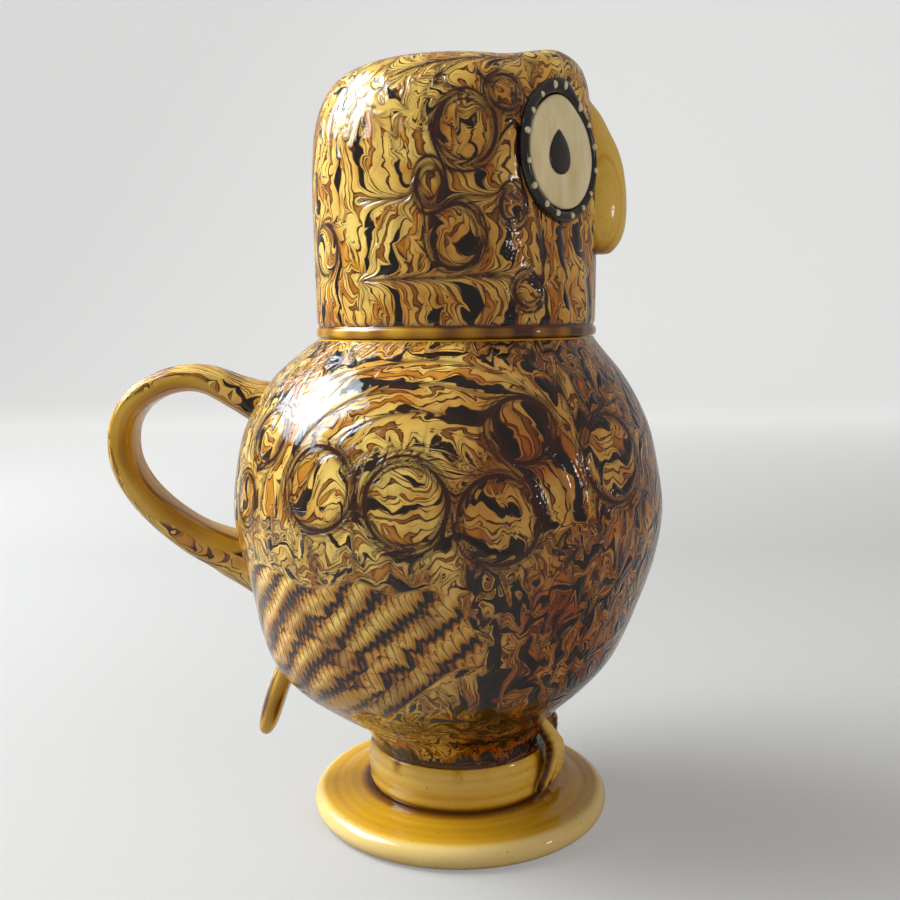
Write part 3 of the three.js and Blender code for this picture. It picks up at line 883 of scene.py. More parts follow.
def marbled_slip():
    """Trails of amber and black on cream, looked up where each bit of slip lay before combing, with plain
    honey glaze where the veil covers them."""
    glaze = Glaze("marbled_slip", {"IOR": glaze_ior})
    place = glaze.place()
    slip, coat_fact = glaze.fact("slip", "Vector"), glaze.fact("coat", "Vector")
    cosine, sine, mark = (glaze.split(slip, axis) for axis in "XYZ")
    veil, pool, groove = (glaze.split(coat_fact, axis) for axis in "XYZ")
    one_way = mark.held()
    row = cosine.maths("ARCTAN2", sine, cosine) / (2 * math.pi)
    phase, short_line, long_line = needled(glaze, place, row, glaze.fact("across", "Fac"), mark)
    cloud = glaze.noise(place, 55.0, 3.0)
    # The pool holds the glaze's depth and, on the belly and the head, painted shade towards the owl's front
    # and low on the belly and painted light on the crown; with it the black trails widen and the slip
    # darkens to gold and olive.
    more = pool - usual_pool + (0 - mark).held() * calm_pool
    coat, relief = trailed(glaze, cream_ground(glaze, place, cloud), phase, place, more)
    coat = glaze.blend(one_way, coat, feathered(glaze, phase, place))
    coat = glaze.blend((pool - gold_from + cloud * 2).held(), coat, gold, "MULTIPLY")
    coat = glaze.blend(((pool - olive_from) * olive_strength).held(), coat, olive, "MULTIPLY")
    lines = short_line * (short_line_strength + one_way * feathered_line_strength)
    coat = glaze.blend((lines + long_line * long_line_strength).held(), coat, brown)
    coat = glaze.blend((groove * groove_strength).held(), coat, red_brown)
    veil = (veil * veil_strength + glaze.noise(place, 400.0, 2.0) * veil_ragged - veil_held).held()
    coat = glaze.blend(veil, coat, honey_colour(glaze, (pool + cloud * 0.2).held()))
    glaze.feed("Base Color", coat)
    glaze.feed("Roughness", 0.06 + glaze.noise(place, 180.0, 2.0) * 0.05)
    ribs = cosine * rib_lift + cosine * sine * side_rib_lift
    relief = (relief + ribs - (short_line + long_line) * needle_cut) * (1 - groove) - groove * groove_cut
    glaze.feed("Normal", ripple(glaze, relief * (1 - veil), place))
    return glaze.material


marbled_finish = marbled_slip()
print("marbled slip:", len(marbled_finish.node_tree.nodes), "nodes")

# %% [markdown]
# The pads of the eyes, their dots and the black slip are nearly one colour each, so they need only
# clouds and the faint marks of the brush. The foot's underside was wiped clean before the firing, and
# shows bare sandy clay.

# %% Plain slips and bare clay
brush_stretch = 0.35
cloud_to_brush = 0.2
brush_lift = 0.06
clay_ior = 1.5
bare_clay, dark_clay = colour(205, 186, 150), colour(176, 146, 104)
sand_lift = 0.00012


def plain_glaze(name, base, shade, scale):
    """A slip of nearly one colour under the glaze, clouded and faintly brushed."""
    glaze = Glaze(name, {"IOR": glaze_ior})
    place = glaze.place()
    brushed = glaze.noise(glaze.scaled(place, (1.0, 1.0, brush_stretch)), scale, 3.0)
    cloud = glaze.noise(place, scale * cloud_to_brush, 2.0)
    glaze.feed("Base Color", glaze.blend((0.4 + brushed * 1.3 + cloud * 1.2).held(), base, shade))
    glaze.feed("Roughness", 0.11 + brushed * 0.06)
    glaze.feed("Normal", ripple(glaze, brushed * brush_lift, place))
    return glaze.material


def clay():
    """Bare fired clay on the wiped underside of the foot: matt, sandy, with grog in it."""
    glaze = Glaze("bare_clay", {"IOR": clay_ior})
    sand = glaze.noise(glaze.place(), 1100.0, 2.0)
    glaze.feed("Base Color", glaze.blend((0.5 + sand * 1.4).held(), bare_clay, dark_clay))
    glaze.feed("Roughness", 0.78 + sand * 0.2)
    glaze.feed("Normal", glaze.bump(sand * sand_lift))
    return glaze.material


cream_finish = plain_glaze("cream_glaze", colour(238, 224, 186), colour(210, 182, 122), 260.0)
dot_finish = plain_glaze("dot_slip", colour(226, 214, 178), colour(206, 188, 140), 300.0)
black_finish = plain_glaze("black_slip", colour(24, 21, 22), colour(44, 32, 26), 200.0)
clay_finish = clay()
print("finishes:", [material.name for material in bpy.data.materials])

# %% [markdown]
# ## The jug's body
#
# The belly was thrown as a closed round form, and it slumped a little towards the handle before it
# stiffened. The same profile gives the outside, and the wall's inside is that line moved in by the
# wall. The slump is a slow shift along the depth, so it is added after turning.

# %% Body profile
wall = 5.0
floor_thickness = 7.0
lean_back = 5.6
ledge_radius = 41.5
neck_radius = 36.3
neck_wall = 4.0
ledge_round = 0.5
neck_fillet = 0.8
lip = neck_wall / 2
point_gap = 0.4
hub_radius = 2
# The wall's points: the radius as a share of the belly's, and the height as a share of the body's.
outer_shares = [
    (0.421, 0), (0.435, 0.035), (0.472, 0.068), (0.528, 0.092), (0.612, 0.128), (0.721, 0.177),
    (0.814, 0.237), (0.873, 0.31), (0.92, 0.395), (0.971, 0.492), (1, 0.589), (0.983, 0.686),
    (0.941, 0.783), (0.877, 0.855), (0.798, 0.916), (0.704, 0.965),
]
lean_shares = [
    (0, 0), (0.2, 0.04), (0.5, 0.08), (0.85, 0.13), (0.97, 0.2), (0.8, 0.3), (0.52, 0.44),
    (0.52, 0.6), (0.56, 0.75), (0.45, 0.9), (0.2, 0.97), (0, 1),
]

outer_points = [(belly_radius * out, body_seat + body_height * up) for out, up in outer_shares]
outer_points.append((ledge_radius, ledge_top - ledge_round))
outer_line = even(through(outer_points, 900), 343)
lean_line = through(lean_shares, 400)


def lean_at(height):
    """How far the soft belly has slumped back at a height."""
    return lean_back * np.interp((height - body_seat) / body_height, lean_line[:, 1], lean_line[:, 0])


def inside_line():
    """The wall's inside, from under the neck down to the floor: the outer line moved in by the wall."""
    slope = np.gradient(outer_line, axis=0)
    slope /= np.linalg.norm(slope, axis=1, keepdims=True)
    moved = outer_line + wall * np.stack([-slope[:, 1], slope[:, 0]], axis=1)
    floor = body_seat + floor_thickness
    keep = (moved[:, 0] > neck_radius - neck_wall) & (moved[:, 1] > floor + wall / 2)
    keep &= moved[:, 1] < ledge_top - wall
    down = moved[keep][::-1]
    start = down[-1]
    cove = [start, start - (wall, wall * 0.7), (start[0] - 3 * wall, floor), (hub_radius, floor)]
    return np.concatenate([down[:-1], through(cove, 16)])


neck_inside = neck_radius - neck_wall
fillet_radius = neck_radius + neck_fillet
ledge_line = np.concatenate([
    arc((ledge_radius - ledge_round, ledge_top - ledge_round), ledge_round, 0, 90, 4),
    straight((ledge_radius - ledge_round - point_gap, ledge_top), (fillet_radius, ledge_top), 3),
    arc((fillet_radius, ledge_top + neck_fillet), neck_fillet, 270, 180, 3),
    straight((neck_radius, ledge_top + neck_fillet + point_gap), (neck_radius, neck_top - lip), 5)[:-1],
    arc((neck_radius - lip, neck_top - lip), lip, 0, 180, 8),
    straight((neck_inside, neck_top - lip), (neck_inside, ledge_top - wall + 1), 5)[1:],
])
inner_line = even(inside_line(), 34)
print("body profile:", len(outer_line), "rings outside, wall", wall, "mm")

# %% [markdown]
# ## What the comb drew on the belly
#
# The slip lay in bands: round the pot nearly everywhere, in large arcs over each shoulder, aslant low at
# the back and upright low at the front. A comb had run through them by turns up and down, and a needle
# had flicked through them all over. Then came the designs: rings in a row on each side, with smaller
# ones towards the front. Each is a tine's path over the wall, given by turns and heights.

# %% Designs on the belly
side_turn, side_level = 97.0, 97.0
# Arcs: radius and pull. Side rings: turn, height, radius and pull. Front and back rings: reach as well.
shoulder_arcs = ((50, 6), (42, -6), (34, 6))
ring_echoes = ((-1.3, 0.7), (1.3, 0.8), (2.6, 0.5))
side_rings = [(121, 110, 10.3, 4), (99, 107, 10.6, -5), (78, 103, 10.6, 5), (71, 125, 8.4, 5),
              (44, 116, 11.5, -5), (142, 122, 7.5, -4), (150, 104, 6.5, 4)]
front_rings = ((0, 112, 12, 12, 1.6), (-14, 84, 9, -10, 1.4), (15, 82, 9, 10, 1.4))
back_ring = (180, 52, 9, 10, 1.5)
front_line = ((0, 140), (0, 60), 10, 1.6)
wing_line = ((56, 136), (52, 96), 5, 1.2)
arc_reach, arc_depth, arc_lowest = 0.8, 0.5, 6
side_ring_reach, side_ring_tall = 1.1, 1.05


def side_design(side):
    """The design on one side of the belly; side is -1 for the owl's right and 1 for its left."""
    strokes = []
    for radius, pull in shoulder_arcs:
        strokes.append(loop(side * side_turn, side_level, radius, side * pull, arc_reach,
                            depth=arc_depth, lowest=arc_lowest))
    (turn, height), (end_turn, end_height), *rest = wing_line
    strokes.append(line((side * turn, height), (side * end_turn, end_height), *rest))
    for turn, height, radius, pull in side_rings:
        strokes.append(loop(side * turn, height, radius, side * pull, side_ring_reach, side_ring_tall,
                            echoes=ring_echoes))
    return strokes


print("strokes of both sides:", len(side_design(-1) + side_design(1)))

# %% Where each design lies
# Each pair is an edge of a design: where the change starts and where it is done, in degrees or mm.
arc_start, arc_end, arc_over = (24, 31), (50, 57), 8
feather_front, feather_back = (76, 83), (172, 177)
feather_low, feather_high = (58, 62), (71, 75)
low_leaves = {"front": (48, 56), "back": (84, 90), "low": (42, 48), "high": (70, 77)}
back_leaves = {"front": (142, 149), "low": (84, 92), "high": (124, 132)}


def designs_at(slip):
    """How much of each design, besides the level bands, reaches a vertex: the shoulder's arcs, the upright
    leaves and the aslant feathers. Each fades out over a few millimetres, along a hand-drawn edge."""
    turn, height = slip.from_front(), slip.height()
    to_front = (side_turn - turn) * degree * slip.round_at(slip.level)
    out = np.hypot(to_front, slip.level - slip.level_of(side_level))
    shaky = 1.6 * np.sin(turn / 4 + height / 11) + 1.1 * np.sin(height / 4 - turn / 9)
    aslant = ease(turn + shaky, *feather_front) * (1 - ease(turn, *feather_back))
    aslant *= 1 - ease(height + shaky - 14 * ease(turn, 76, 98), *feather_high)
    aslant *= ease(height - shaky + 15 * ease(turn, 88, 108), *feather_low)
    upright = ease(turn + shaky, *low_leaves["front"]) * (1 - ease(turn, *low_leaves["back"]))
    upright *= ease(height + shaky, *low_leaves["low"]) * (1 - ease(height - shaky, *low_leaves["high"]))
    behind = ease(turn + shaky, *back_leaves["front"]) * ease(height, *back_leaves["low"])
    upright += behind * (1 - ease(height + shaky, *back_leaves["high"]))
    upright *= 1 - aslant
    arcs = ease(out, *arc_start) * (1 - ease(out + shaky, *arc_end))
    arcs *= ease(height, side_level, side_level + arc_over)
    return arcs * (1 - aslant) * (1 - upright), upright, aslant


print("the feathers run from", feather_front[0], "to", feather_back[1], "degrees round from the front")

# %% The body's coat
feather_slant = 48 * degree
feather_gap = 9.0
leaf_squeeze = 1.15
arc_along = 40
back_join = (177, 179)
still_arcs, still_feathers, still_rings, still_foot = 0.8, 0.94, 0.7, 0.65
calm_arcs, calm_rings = 0.5, 0.45
smear_depth = 0.7


def hold_still(slip, arcs, aslant):
    """The strokes all over left the feathered bands alone, and hardly touched the rings' insides."""
    slip.loose = (1 - still_arcs * arcs) * (1 - still_feathers * aslant)
    slip.loose *= 1 - still_foot * (1 - ease(slip.level, 14, 26))
    slip.calm = calm_arcs * arcs
    for side in (-1, 1):
        for turn, height, radius, _ in side_rings:
            across, rise, _ = slip.seen_from(side * turn, height)
            inside = 1 - ease(np.hypot(across, rise), radius - 2, radius)
            slip.loose *= 1 - still_rings * inside
            slip.calm = np.maximum(slip.calm, calm_rings * inside)


def body_rows(slip, arcs, upright, aslant):
    """The bands before combing: the place within the band, the mm along it, and a mark: 1 where the bands
    are feathered all one way, -1 where no needle went through them."""
    turn = slip.from_front()
    to_front = (side_turn - turn) * degree * slip.round_at(slip.level)
    up = slip.level - slip.level_of(side_level)
    bands, across = banded(slip.level), slip.turn * belly_radius
    over = up * math.cos(feather_slant) - to_front * math.sin(feather_slant)
    aside = to_front * math.cos(feather_slant) + up * math.sin(feather_slant)
    designs = ((arcs, np.hypot(to_front, up), arc_along * np.arctan2(up, to_front)),
               (upright, leaf_squeeze * to_front, slip.level),
               (aslant, over * band_width / feather_gap, aside))
    between = ease(turn, *back_join)
    for share, row, along in designs:
        bands = bands + share[..., None] * (banded(row) - bands)
        across = across + share * (along - across)
        between = np.maximum(between, 4 * share * (1 - share))
    mark = (aslant - slip.calm) * (1 - between) - between
    return bands, across, mark


def body_coat(turn, level):
    """The slip's facts at each vertex of the outside, and how deep the grooves are."""
    slip = Slip(turn, level, outer_line)
    arcs, upright, aslant = designs_at(slip)
    hold_still(slip, arcs, aslant)
    strokes = [drift(size=0.8, wave=12, seed=5), upright_comb(spacing=9.5, pull=3.4, reach=1.1, seed=3)]
    strokes.append(dabs(spacing=8.5, pull=5, reach=1.5, length=12, seed=17))
    strokes.append(dabs(spacing=6.5, pull=3.4, reach=1.1, length=8, seed=18))
    strokes += side_design(-1) + side_design(1)
    strokes += [loop(*ring) for ring in (*front_rings, back_ring)] + [line(*front_line)]
    slip.comb_back(strokes)
    bands, across, mark = body_rows(slip, arcs, upright, aslant)
    return np.dstack([bands, mark]), across, np.maximum(slip.groove, smear_depth * smeared(bands))


around_body = 720
outer_turn = np.linspace(-np.pi, np.pi, around_body, endpoint=False)
outer_turns, outer_levels = np.meshgrid(outer_turn, run_along(outer_line))
body_slip, body_across, body_groove = body_coat(outer_turns, outer_levels)
print("slip worked out at", body_groove.size, "vertices of the belly")

# %% Smear, pool and painted shade on the body


def patch(turn, height, wide, tall):
    """A soft round patch on the outside: a hill of the mm along times a hill of the mm up."""
    radius = np.interp(height, outer_line[:, 1], outer_line[:, 0])
    away = np.mod(outer_turns - turn * degree + np.pi, 2 * np.pi) - np.pi
    rise = outer_levels - np.interp(height, outer_line[:, 1], run_along(outer_line))
    return hill(away * radius, 0, wide) * hill(rise, 0, tall)


thumb_turns, thumb_heights = (130, 114), (45, 53)
thumb_wide, thumb_talls, thumb_strength = 4.2, (2.8, 1.6), 0.7
line_place, line_width, line_depth = 1.9, 0.5, 0.8
pool_side, front_pool_and_shade, low_pool_and_shade, low_front_pool_and_shade = 0.42, 0.42, 0.2, 0.12

body_veil = np.zeros_like(body_groove)
thumb_path = zip(*(np.linspace(*ends, 7) for ends in (thumb_turns, thumb_heights, thumb_talls)))
for turn, height, tall in thumb_path:
    for side in (-1, 1):
        body_veil = np.maximum(body_veil, thumb_strength * patch(side * turn, height, thumb_wide, tall))
edge_wave = 0.5 * np.sin(5 * outer_turns) + 0.35 * np.sin(11 * outer_turns + 1)
body_veil = np.maximum(body_veil, 1 - ease(outer_levels + edge_wave, 0.6, 1.4))
to_side = np.abs(outer_turns) / degree
# Painted shade with the pool: the glaze is made deeper towards the owl's front and low on the belly, partly
# for deeper glaze there and partly to darken those sides, which face away from the window.
body_pool_and_shade = pool_side + front_pool_and_shade * (1 - ease(to_side, 66, 106))
body_pool_and_shade += low_pool_and_shade * (1 - ease(outer_levels, 18, 52))
body_pool_and_shade += low_front_pool_and_shade * (1 - ease(to_side, 70, 100)) * (1 - ease(outer_levels, 60, 100))
body_pool_and_shade = np.maximum(body_pool_and_shade, 1 - 0.5 * ease(outer_levels + edge_wave, 0.8, 2.6))
foot_line = hill(outer_levels + edge_wave, line_place, line_width)
body_groove = np.maximum(body_groove, line_depth * foot_line)
body_coat_facts = np.stack([body_veil, body_pool_and_shade, body_groove], axis=2)
# The range printed below takes in the painted shade as well as the glaze's depth.
print("glaze on the belly, thinnest and deepest:", body_pool_and_shade.min().round(2), body_pool_and_shade.max().round(2))

# %% [markdown]
# The belly's skin is fine enough for a groove half a millimetre wide, so it is made as three courses,
# one above the other. Each is a closed piece of the whole wall, and the cuts between them lie inside
# the clay. The normals come from the uncut surface, so no seam shows.

# %% Make the body


def facing_of(rings):
    """Directions square to a surface of rings: the cross product of its two slopes."""
    around_slope = np.roll(rings, -1, axis=1) - np.roll(rings, 1, axis=1)
    along_slope = np.gradient(rings, axis=0)
    facing = np.cross(around_slope, along_slope)
    return facing / np.maximum(np.linalg.norm(facing, axis=2, keepdims=True), 1e-9)


def slumped(profile):
    """The profile turned about the axis, with the slump."""
    rings = turned(profile, around_body)
    rings[:, :, 1] += lean_at(rings[:, :, 2])
    return rings


inner_coat = (1, 0.5, 0)
outer_rings = slumped(outer_line)
top_rings = slumped(ledge_line[1:])
inner_rings = slumped(inner_line)
outer_facing, top_facing, inner_facing = (facing_of(part) for part in (outer_rings, top_rings, inner_rings))


def course(name, low, high):
    """One course of the wall, between two rings of the outside; low 0 has the floor, the last the neck."""
    last = len(outer_line) - 1
    cut_low, cut_high = (np.argmin(np.abs(inner_line[:, 1] - outer_line[row, 1])) for row in (low, high))
    inside = slice(0 if high == last else cut_high, len(inner_line) if low == 0 else cut_low + 1)
    parts = [outer_rings[low:high + 1], inner_rings[inside]]
    facings = [outer_facing[low:high + 1], inner_facing[inside]]
    if high == last:
        parts.insert(1, top_rings)
        facings.insert(1, top_facing)
    rings = np.concatenate(parts)
    rest = np.zeros((len(rings) - (high + 1 - low), around_body, 3))
    slip_fact = np.concatenate([body_slip[low:high + 1], rest])
    across_fact = np.concatenate([body_across[low:high + 1], rest[..., 0]])
    coat_fact = np.concatenate([body_coat_facts[low:high + 1], rest + inner_coat])
    plain_rows = np.arange(len(rings) - (low == 0)) >= high - low
    make_piece(name, [rings], "jug", ["jug_body"], [marbled_finish, honey_finish],
               {"slip": [slip_fact], "across": [across_fact], "coat": [coat_fact]}, plain_rows, low > 0,
               np.concatenate(facings))


courses = (0, 119, 242, len(outer_line) - 1)
for name, low, high in zip(("belly_low", "belly_middle", "shoulder_and_neck"), courses, courses[1:]):
    course(name, low, high)

# %% [markdown]
# ## The head, which is the cup
#
# The head was thrown as a straight cup and turned over. While it was soft, two palms pressed a shallow
# flat on each side of the front, and the fingers pinched the clay above them into a brow. So the head
# starts as a turned profile, and two rules move its points: one scales the radius down inside a flat,
# the other lifts the wall over the eyes. Like the belly it is made as courses of the whole wall.

# %% Head profile
head_wall = 4.1
neck_clearance = 1.2
head_rim = neck_radius + neck_clearance + head_wall
side_height = 36.8
dome_height = 40.6
dome_out_power, dome_up_power = 2 / 5.2, 2 / 3.4
press_end, brow_inwards, brow_upwards = (0.66, 0.94), (0.46, 0.88), (0.58, 0.87)
spring_line = head_seat + side_height
bead_height = 3.2
face_angle = 40 * degree
face_press = 4.2
flat_curve = 200.0
press_softness = 1.2
press_start, press_full = 12.0, 34.0
brow_rise = 5.2
brow_reach = 1.4
brow_full, brow_end = 30 * degree, 66 * degree


def dome(radius, rise, steps):
    """A squared-off dome: the radius goes with cos(t) to the power 2/5.2 and the height with sin(t) to
    the power 2/3.4, from the spring line up to just beside the pole."""
    t = np.linspace(0, np.pi / 2, 400)
    out, up = radius * np.cos(t) ** dome_out_power, rise * np.sin(t) ** dome_up_power
    line_up = np.stack([out, spring_line + up], axis=1)
    line_up = line_up[line_up[:, 0] > 1.0]
    return even(line_up, steps)


bead_points = [
    (head_rim - 0.5, 0), (head_rim + 0.1, 0.5), (head_rim + 0.3, 1.4), (head_rim + 0.1, 2.4),
    (head_rim - 0.5, bead_height), (head_rim - 0.1, 4.2), (head_rim, 5.2),
]
bead_line = through([(r, head_seat + z) for r, z in bead_points], 22)
side_line = straight((head_rim, head_seat + 5.8), (head_radius, spring_line), 85)
outside_up = np.concatenate([bead_line, side_line, dome(head_radius, dome_height, 176)[1:]])
inside_up = np.concatenate([
    [(head_rim - head_wall + 0.8, head_seat + 0.1), (head_rim - head_wall, head_seat + 1.0)],
    straight((head_rim - head_wall, head_seat + 2), (head_radius - head_wall, spring_line), 18),
    dome(head_radius - head_wall, dome_height - head_wall, 34)[1:],
])
outside_run = run_along(outside_up)
print("head profile:", len(outside_up), "rings outside;", round(outside_run[-1], 1), "mm from rim to pole")

# %% Press the face and pinch the brow


def press_at(angle, height):
    """How far the palm pushed the wall in. Seen from above, each flat is an arc of a very large circle;
    where the round wall lies outside it by d, the push is (d + root(d*d + s*s)) / 2, which runs out
    softly, and it eases in above the rim and out again over the dome."""
    turn = np.abs(angle) - face_angle
    to_centre = flat_curve - (head_radius - face_press)
    reach = np.sqrt(flat_curve ** 2 - (to_centre * np.sin(turn)) ** 2) - to_centre * np.cos(turn)
    beyond = np.where(np.cos(turn) > 0, head_radius - reach, -head_radius)
    push = (beyond + np.hypot(beyond, press_softness)) / 2
    low = ease(height - head_seat, press_start, press_full)
    return push * low * (1 - ease((height - spring_line) / dome_height, *press_end))


def pinch_at(angle, radius, height):
    """How much of the fingers' pinch reaches a point: all of it over the eyes, and less towards the
    sides, the middle of the crown and down the wall."""
    sideways = 1 - ease(np.abs(angle), brow_full, brow_end)
    outwards = ease(radius / head_radius, *brow_inwards)
    return sideways * outwards * ease((height - spring_line) / dome_height, *brow_upwards)


def pressed(points):
    """Points of the turned head, moved by both rules."""
    radius = np.hypot(points[..., 0], points[..., 1])
    angle = np.arctan2(points[..., 0], -points[..., 1])
    pinch = pinch_at(angle, radius, points[..., 2])
    scale = 1 + (brow_reach * pinch - press_at(angle, points[..., 2])) / head_radius
    lift = brow_rise * pinch
    return np.stack([points[..., 0] * scale, points[..., 1] * scale, points[..., 2] + lift], axis=-1)


def on_head(angle, rise):
    """A point of the head's outside by its turn, in radians, and its distance up the wall."""
    radius = np.interp(rise, outside_run, outside_up[:, 0])
    height = np.interp(rise, outside_run, outside_up[:, 1])
    return pressed(np.stack([radius * np.sin(angle), -radius * np.cos(angle), height], axis=-1))


print("the palm pushes each flat in by", round(float(press_at(face_angle, head_seat + 40)), 2), "mm")

# %% The head's coat
# Rings: turn, height, radius, pull and how tall. Lines: both ends, pull, reach, bow and depth.
head_rings = ((86, 201, 8.0, 6, 1.15), (90, 174, 7.0, -5, 1.2), (99, 187, 3.6, 3, 1.5),
              (68, 182, 4, 3, 1.2), (62, 160, 4.5, -3, 1.0), (70, 211, 5, -4, 1.0), (58, 196, 4, 3, 1.3))
level_lines = ((128, 184, 62, 184, 9, 0.9, 0, 0.6), (128, 163, 58, 164, -9, 0.9, 0, 0.6))
bowed_lines = ((116, 216, 60, 221, 9, 1.3, 2), (60, 205, 56, 162, 8, 1.2, 2))
head_back_rings = ((180, 190, 9, 10, 1.4), (150, 172, 7, -8, 1.2), (-150, 172, 7, 8, 1.2))
crown_from, crown_full = 198, 204
side_loose = 0.45
upright_end = (202, 210)
head_calm = 0.3


def head_design(side):
    """The comb's path on one side of the head, as on the belly: lines, rings and lines again."""

    def lines(table):
        return [line((side * turn, height), (side * end_turn, end_height), *rest)
                for turn, height, end_turn, end_height, *rest in table]

    rings = [loop(side * turn, height, radius, side * pull, reach=1.0, tall=tall, depth=0.8,
                  echoes=ring_echoes[:2])
             for turn, height, radius, pull, tall in head_rings]
    return lines(level_lines) + rings + lines(bowed_lines)


def head_rows(slip):
    """The bands before combing: upright all round the side of the head, level over the crown. A whole
    number of them goes round, so the last meets the first."""
    upright = 1 - ease(slip.height() + 3 * np.sin(3 * slip.turn), *upright_end)
    across = slip.turn * head_radius
    round_row = slip.turn / (2 * np.pi) * round(2 * np.pi * head_radius / band_width) * band_width
    bands = banded(slip.level)
    bands += upright[..., None] * (banded(round_row) - bands)
    across += upright * (slip.level - across)
    return np.dstack([bands, -np.maximum(head_calm, 4 * upright * (1 - upright))]), across


def head_coat(turn, level):
    """The slip's facts at each vertex of the head, and how deep the grooves are."""
    slip = Slip(turn, level, outside_up)
    crown = ease(level, slip.level_of(crown_from), slip.level_of(crown_full))
    slip.loose = side_loose + (1 - side_loose) * crown
    strokes = [drift(size=0.9, wave=10, seed=9)]
    strokes.append(dabs(spacing=7.5, pull=4.5, reach=1.3, length=10, seed=27))
    strokes.append(dabs(spacing=6.0, pull=3.0, reach=1.0, length=7, seed=28))
    strokes += head_design(-1) + head_design(1)
    strokes += [loop(*ring) for ring in head_back_rings]
    slip.comb_back(strokes)
    rows, across = head_rows(slip)
    return rows, across, np.maximum(slip.groove, smear_depth * smeared(rows[..., :2]))


around_head = 560
head_turn = np.linspace(-np.pi, np.pi, around_head, endpoint=False)
head_turns, head_levels = np.meshgrid(head_turn, outside_run)
head_slip, head_across, head_groove = head_coat(head_turns, head_levels)
outside_height = outside_up[:, 1:] - head_seat
rim_share = (1 - ease(outside_height, bead_height - 0.2, bead_height + 0.6)) * np.ones(around_head)
# The head's front, away from the window, gets a deeper pool: partly deeper glaze, partly painted shade.
head_pool_and_shade = pool_side + 0.3 * (1 - ease(np.abs(head_turns) / degree, 72, 104)) + 0.2 * rim_share
# Painted light: the crown, where the window lights it, is made paler by a thinner pool.
head_pool_and_shade -= 0.24 * ease(outside_up[:, 1:], 204, 216)
head_pool_and_shade += 0.3 * hill(outside_height, bead_height, 0.5)
head_pool_and_shade += 0.2 * np.sin(7 * head_turns) * np.sin(19 * head_turns + 1) * rim_share
head_coat_facts = np.stack([rim_share, head_pool_and_shade, head_groove * (1 - rim_share)], axis=2)
print("slip worked out at", head_groove.size, "vertices of the head")

# %% Make the head
head_outside, head_inside = (pressed(turned(part, around_head)) for part in (outside_up, inside_up))
outside_facing, inside_facing = facing_of(head_outside), -facing_of(head_inside)
head_cut = 142
inside_cut = int(np.argmin(np.abs(inside_up[:, 1] - outside_up[head_cut, 1])))


def head_course(name, outside, inside, looped):
    """One course of the head: rows of the outside, then rows of the inside."""
    rings = np.concatenate([head_outside[outside], head_inside[inside]])
    rest = np.zeros((len(head_inside[inside]), around_head, 3))
    marbled_rows = len(head_outside[outside]) - 1
    make_piece(name, [rings], "head", ["head_cup"], [marbled_finish, honey_finish],
               {"slip": [np.concatenate([head_slip[outside], rest])],
                "across": [np.concatenate([head_across[outside], rest[..., 0]])],
                "coat": [np.concatenate([head_coat_facts[outside], rest + inner_coat])]},
               np.arange(len(rings) - (not looped)) >= marbled_rows, looped,
               np.concatenate([outside_facing[outside], inside_facing[inside]]))


head_course("head_side", slice(0, head_cut + 1), slice(inside_cut, None, -1), True)
head_course("head_dome", slice(None, head_cut - 1, -1), slice(inside_cut, None), False)

# %% [markdown]
# ## The eyes
#
# Each eye is a black plate with a raised band, a cream pad on top of it, a pupil drawn to a point and
# sixteen dots of cream slip on the band. They were made flat and laid on the pressed face, so they are
# worked out flat here too, and one rule lays any flat point on the face: across becomes a turn, up
# becomes a distance up the wall, and the third coordinate goes straight out from the clay.

# %% Lay flat pieces on the face
eye_low, eye_high = corners("right_eye_disc")
eye_height = (eye_low[2] + eye_high[2]) / 2
eye_rise = np.interp(eye_height, outside_up[:, 1], outside_run)
eye_radius = (eye_high[2] - eye_low[2]) / 2
ring_width = 2.9
ring_gap = 0.3
ring_radius = eye_radius + ring_gap + ring_width
crest = eye_radius + ring_gap + ring_width / 2


def laid_on_face(points, side):
    """Flat points (across, up, off the clay) on the face round one eye."""
    across, rise, off = points[..., 0], points[..., 1] + eye_rise, points[..., 2]
    to_flat = head_radius - face_press
    step = 0.3
    here = on_head(side * face_angle + np.arctan2(across, to_flat), rise)
    beside = on_head(side * face_angle + np.arctan2(across + step, to_flat), rise)
    above = on_head(side * face_angle + np.arctan2(across, to_flat), rise + step)
    outward = np.cross(beside - here, above - here)
    outward /= np.linalg.norm(outward, axis=-1, keepdims=True)
    return here + outward * off[..., None]


def flat_disc(profile, around, edge=None):
    """A flat round piece from a profile of radius and lift; edge scales the radius round the turn."""
    turn = np.linspace(0, 2 * np.pi, around, endpoint=False)
    scale = np.ones(around) if edge is None else edge(turn)
    radius, lift = profile[:, :1] * scale, profile[:, 1:]
    height = np.broadcast_to(lift, radius.shape)
    return np.stack([radius * np.sin(turn), radius * np.cos(turn), height], axis=2)


def hand_cut(seed, size):
    """An edge cut by hand: 1 plus a few slow waves round the turn."""
    chance = np.random.default_rng(seed)
    waves = [(k, chance.uniform(0.4, 1) * size / k, chance.uniform(0, 2 * np.pi)) for k in (2, 3, 5, 7)]
    return lambda turn: 1 + sum(share * np.sin(k * turn + shift) for k, share, shift in waves)


print("eye:", round(eye_radius, 2), "mm pad in a ring of", round(ring_radius, 2), "mm")

